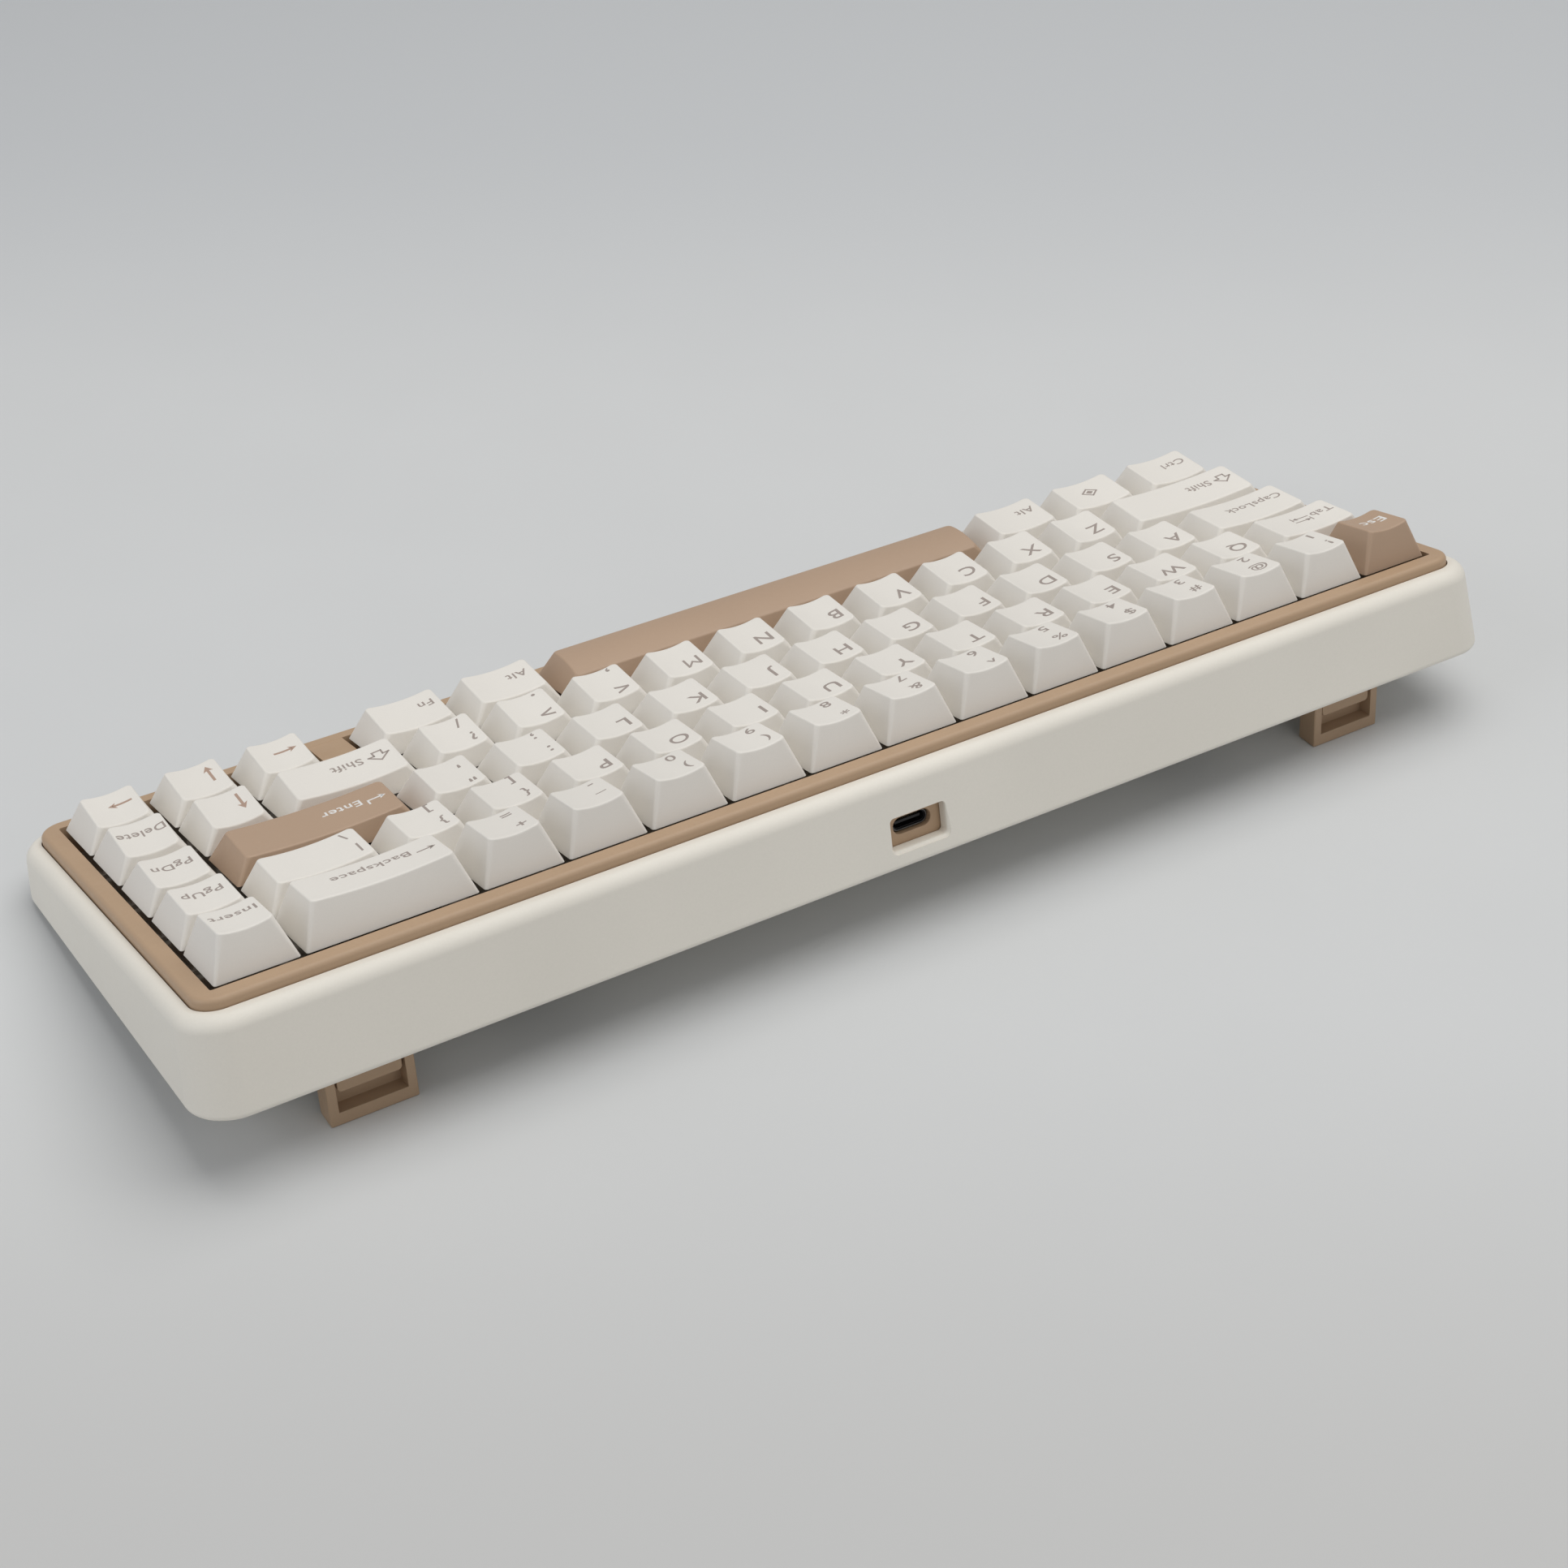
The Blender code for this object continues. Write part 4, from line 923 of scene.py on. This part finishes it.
def set_legend(bm, cap, text):
    x0, x1, y0, y1 = cap.crest()
    if text in TURNS:
        upright = text in ("<up>", "<down>")
        arrow = drawn("left", 3.3 if upright else 3.0, 0.62, TURNS[text])
        lay(bm, arrow, x0 + 1.5, y1 - (10.2 if upright else 8.0))
    elif text == "<super>":
        symbol = drawn("super", 2.7, STROKE)
        lay(bm, symbol, cap.middle - width_of(symbol) / 2, y1 - WORD_BASE - 0.3)
    elif text.startswith("<"):
        add_icon_word(bm, *text[1:].split(">"), x0 + ICON_LEFT, y1 - WORD_BASE)
    elif text == "Tab<tab>":
        word = written("Tab", WORD)
        icon_left = x0 + 0.9 + width_of(word) + 0.8
        lay(bm, word, x0 + 0.9, y1 - WORD_BASE)
        lay(bm, drawn("tab", 2.5, 0.34), icon_left, y1 - WORD_BASE - 0.3)
    elif text == "Esc":
        lay(bm, written(text, ESCAPE), x0 + 1.8, y1 - 7.8)
    elif len(text) == 1:
        lay(bm, written(text, LETTER), x0 + LETTER_LEFT, y1 - LETTER_BASE)
    elif len(text) == 2 and text != "Fn":
        lay(bm, character(text[0]), x0 + BASE_LEFT, y0 + BASE_FROM_FRONT)
        lay(bm, character(text[1]), x0 + SHIFTED_LEFT, y1 - SHIFTED_BASE)
    elif text:
        word = written(text, WORD, 1.12 if text == "Delete" else 1.18)
        centred = cap.middle - width_of(word) / 2
        lay(bm, word, centred if text in ("Insert", "Delete") else x0 + WORD_LEFT, y1 - WORD_BASE)


def character(sign):
    """One of the two signs on a cap; brackets, strokes and small points are drawn larger."""
    return written(sign, PAIR * SIGN_SCALES.get(sign, 1.0))


def add_icon_word(bm, icon, word, x, y):
    """An icon with its word; a line arrow sits a little behind the middle of the word."""
    shape = drawn(icon, 3.0 if icon == "shift" else 2.3, STROKE)
    raised = {"shift": -0.4, "enter": 0.7, "back": 1.2}[icon]
    start = x + width_of(shape) + 1.1
    lay(bm, shape, x, y + raised)
    lay(bm, written(word, WORD), start, y)


def make_legends():
    for node, (_, words) in KEYS.items():
        bm = bmesh.new()
        for cap, text in zip(caps_of(node), words):
            part = bmesh.new()
            if text:
                set_legend(part, cap, text)
                follow_surface(part, cap)
            append(bm, part)
        if not bm.verts:
            bm.free()
            continue
        name = "legend_" + node.replace("keys_", "").replace("key_", "")
        ink = "white_ink" if node in TAN_KEYS else "ink"
        if node in ("key_left", "key_right", "key_up", "key_down"):
            ink = "arrow_ink"
        legend = deck_object(name, bm)
        settle(legend)
        legend.data.materials.append(materials[ink])
        legend.data.shade_flat()
        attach(legend, node)


def follow_surface(bm, cap, step=0.55):
    """Cuts a flat shape across X and lays its two sides on and in the cap's top."""
    xs = [v.co.x for v in bm.verts]
    x = min(xs) + step
    while x < max(xs):
        geometry = bm.verts[:] + bm.edges[:] + bm.faces[:]
        bmesh.ops.bisect_plane(bm, geom=geometry, plane_co=(x, 0, 0), plane_no=(1, 0, 0))
        x += step
    for vert in bm.verts:
        offset = INK_RISE if vert.co.z > 0 else -INK_DEPTH
        vert.co.z = cap.surface(vert.co.x, vert.co.y) + offset


# ---- pieces that keep their CAD shape -------------------------------------------------------------------
def dress_cad_nodes():
    dressed = {"circuit_board": "board", "sound_pad": "silicone", "switch_plate": "plate"}
    for name in frame["nodes"]:
        if name.endswith("stabiliser_wire"):
            dressed[name] = "wire"
    for name, material in dressed.items():
        obj = frame["nodes"][name]
        obj.data.materials.clear()
        obj.data.materials.append(materials[material])


# ---- studio -----------------------------------------------------------------------------------------------
CAMERA_PLACE = Vector((0.2686, 0.4389, 0.3709))
CAMERA_TARGET = Vector((-0.0018, -0.0019, 0.0))
CAMERA_LENS, CAMERA_SENSOR = 62.96, 36.0
FLOOR_HALF = 4.0


def paper():
    """Pale paper with painted shade: its colour darkens before and behind the keyboard, standing in for
    light falling off there.
    """
    material = moulded("studio_paper_painted_shade", (0.665, 0.675, 0.68), 0.8, grain=1.5, depth=0.01,
                       drift=0.008, speckle=0.004, specular=0.2)
    tree = material.node_tree
    shader = tree.nodes["Principled BSDF"]
    tone = shader.inputs["Base Color"].links[0].from_socket
    position = tree.nodes.new("ShaderNodeTexCoord")
    distance = tree.nodes.new("ShaderNodeVectorMath")
    distance.operation = "DOT_PRODUCT"
    away = (CAMERA_TARGET - CAMERA_PLACE) * Vector((1, 1, 0))
    distance.inputs[1].default_value = away.normalized()
    tree.links.new(position.outputs["Object"], distance.inputs[0])
    # painted shade: darker paper colour far behind the keyboard and towards the camera, in place of light
    # falloff
    for near, far, colour in ((0.16, 0.40, (0.595, 0.61, 0.625)),
                              (-0.06, -0.24, (0.585, 0.585, 0.58))):
        painted_falloff = tree.nodes.new("ShaderNodeMapRange")
        painted_falloff.interpolation_type = "SMOOTHSTEP"
        painted_falloff.inputs["From Min"].default_value = near
        painted_falloff.inputs["From Max"].default_value = far
        tree.links.new(distance.outputs["Value"], painted_falloff.inputs["Value"])
        tone = blend_colours(tree, painted_falloff.outputs["Result"], tone, colour)
    tree.links.new(tone, shader.inputs["Base Color"])
    return material


def make_studio():
    bm = bmesh.new()
    bmesh.ops.create_grid(bm, x_segments=2, y_segments=2, size=FLOOR_HALF)
    mesh = bpy.data.meshes.new("studio_floor")
    bm.to_mesh(mesh)
    bm.free()
    floor = bpy.data.objects.new("studio_floor", mesh)
    bpy.context.scene.collection.objects.link(floor)
    mesh.materials.append(paper())

    world = bpy.data.worlds.new("studio")
    world.use_nodes = True
    background = world.node_tree.nodes["Background"]
    background.inputs["Color"].default_value = (0.95, 0.97, 1.0, 1.0)
    background.inputs["Strength"].default_value = 0.30
    bpy.context.scene.world = world

    add_light("overhead", (-0.30, 0.0, 1.25), (0.0, 0.0, 0.0), 1.3, 11.6, (1.0, 0.985, 0.955))
    add_light("camera_side", (-0.15, 1.3, 0.7), (0.0, 0.0, 0.0), 0.9, 1.75, (1.0, 0.985, 0.96))
    add_light("insert_side", (1.25, -0.15, 0.60), (0.0, 0.0, 0.0), 0.9, 3.9, (0.94, 0.965, 1.0))


def add_light(name, location, target, size, power, colour):
    data = bpy.data.lights.new(name, "AREA")
    data.shape = "SQUARE"
    data.size = size
    data.energy = power
    data.color = colour
    light = bpy.data.objects.new(name, data)
    bpy.context.scene.collection.objects.link(light)
    light.location = location
    direction = Vector(target) - Vector(location)
    light.rotation_mode = "QUATERNION"
    light.rotation_quaternion = direction.to_track_quat("-Z", "Y")


def make_camera():
    data = bpy.data.cameras.new("camera")
    data.sensor_width = CAMERA_SENSOR
    data.lens = CAMERA_LENS
    data.clip_start, data.clip_end = 0.01, 20.0
    camera = bpy.data.objects.new("camera", data)
    bpy.context.scene.collection.objects.link(camera)
    camera.location = CAMERA_PLACE
    direction = CAMERA_TARGET - CAMERA_PLACE
    camera.rotation_mode = "QUATERNION"
    camera.rotation_quaternion = direction.to_track_quat("-Z", "Y")
    bpy.context.scene.camera = camera


make_camera()
make_studio()
make_case()
make_rim()
make_port()
make_pads()
make_screws()
make_feet()
make_caps()
make_legends()
dress_cad_nodes()
bpy.context.scene.view_settings.view_transform = "Standard"
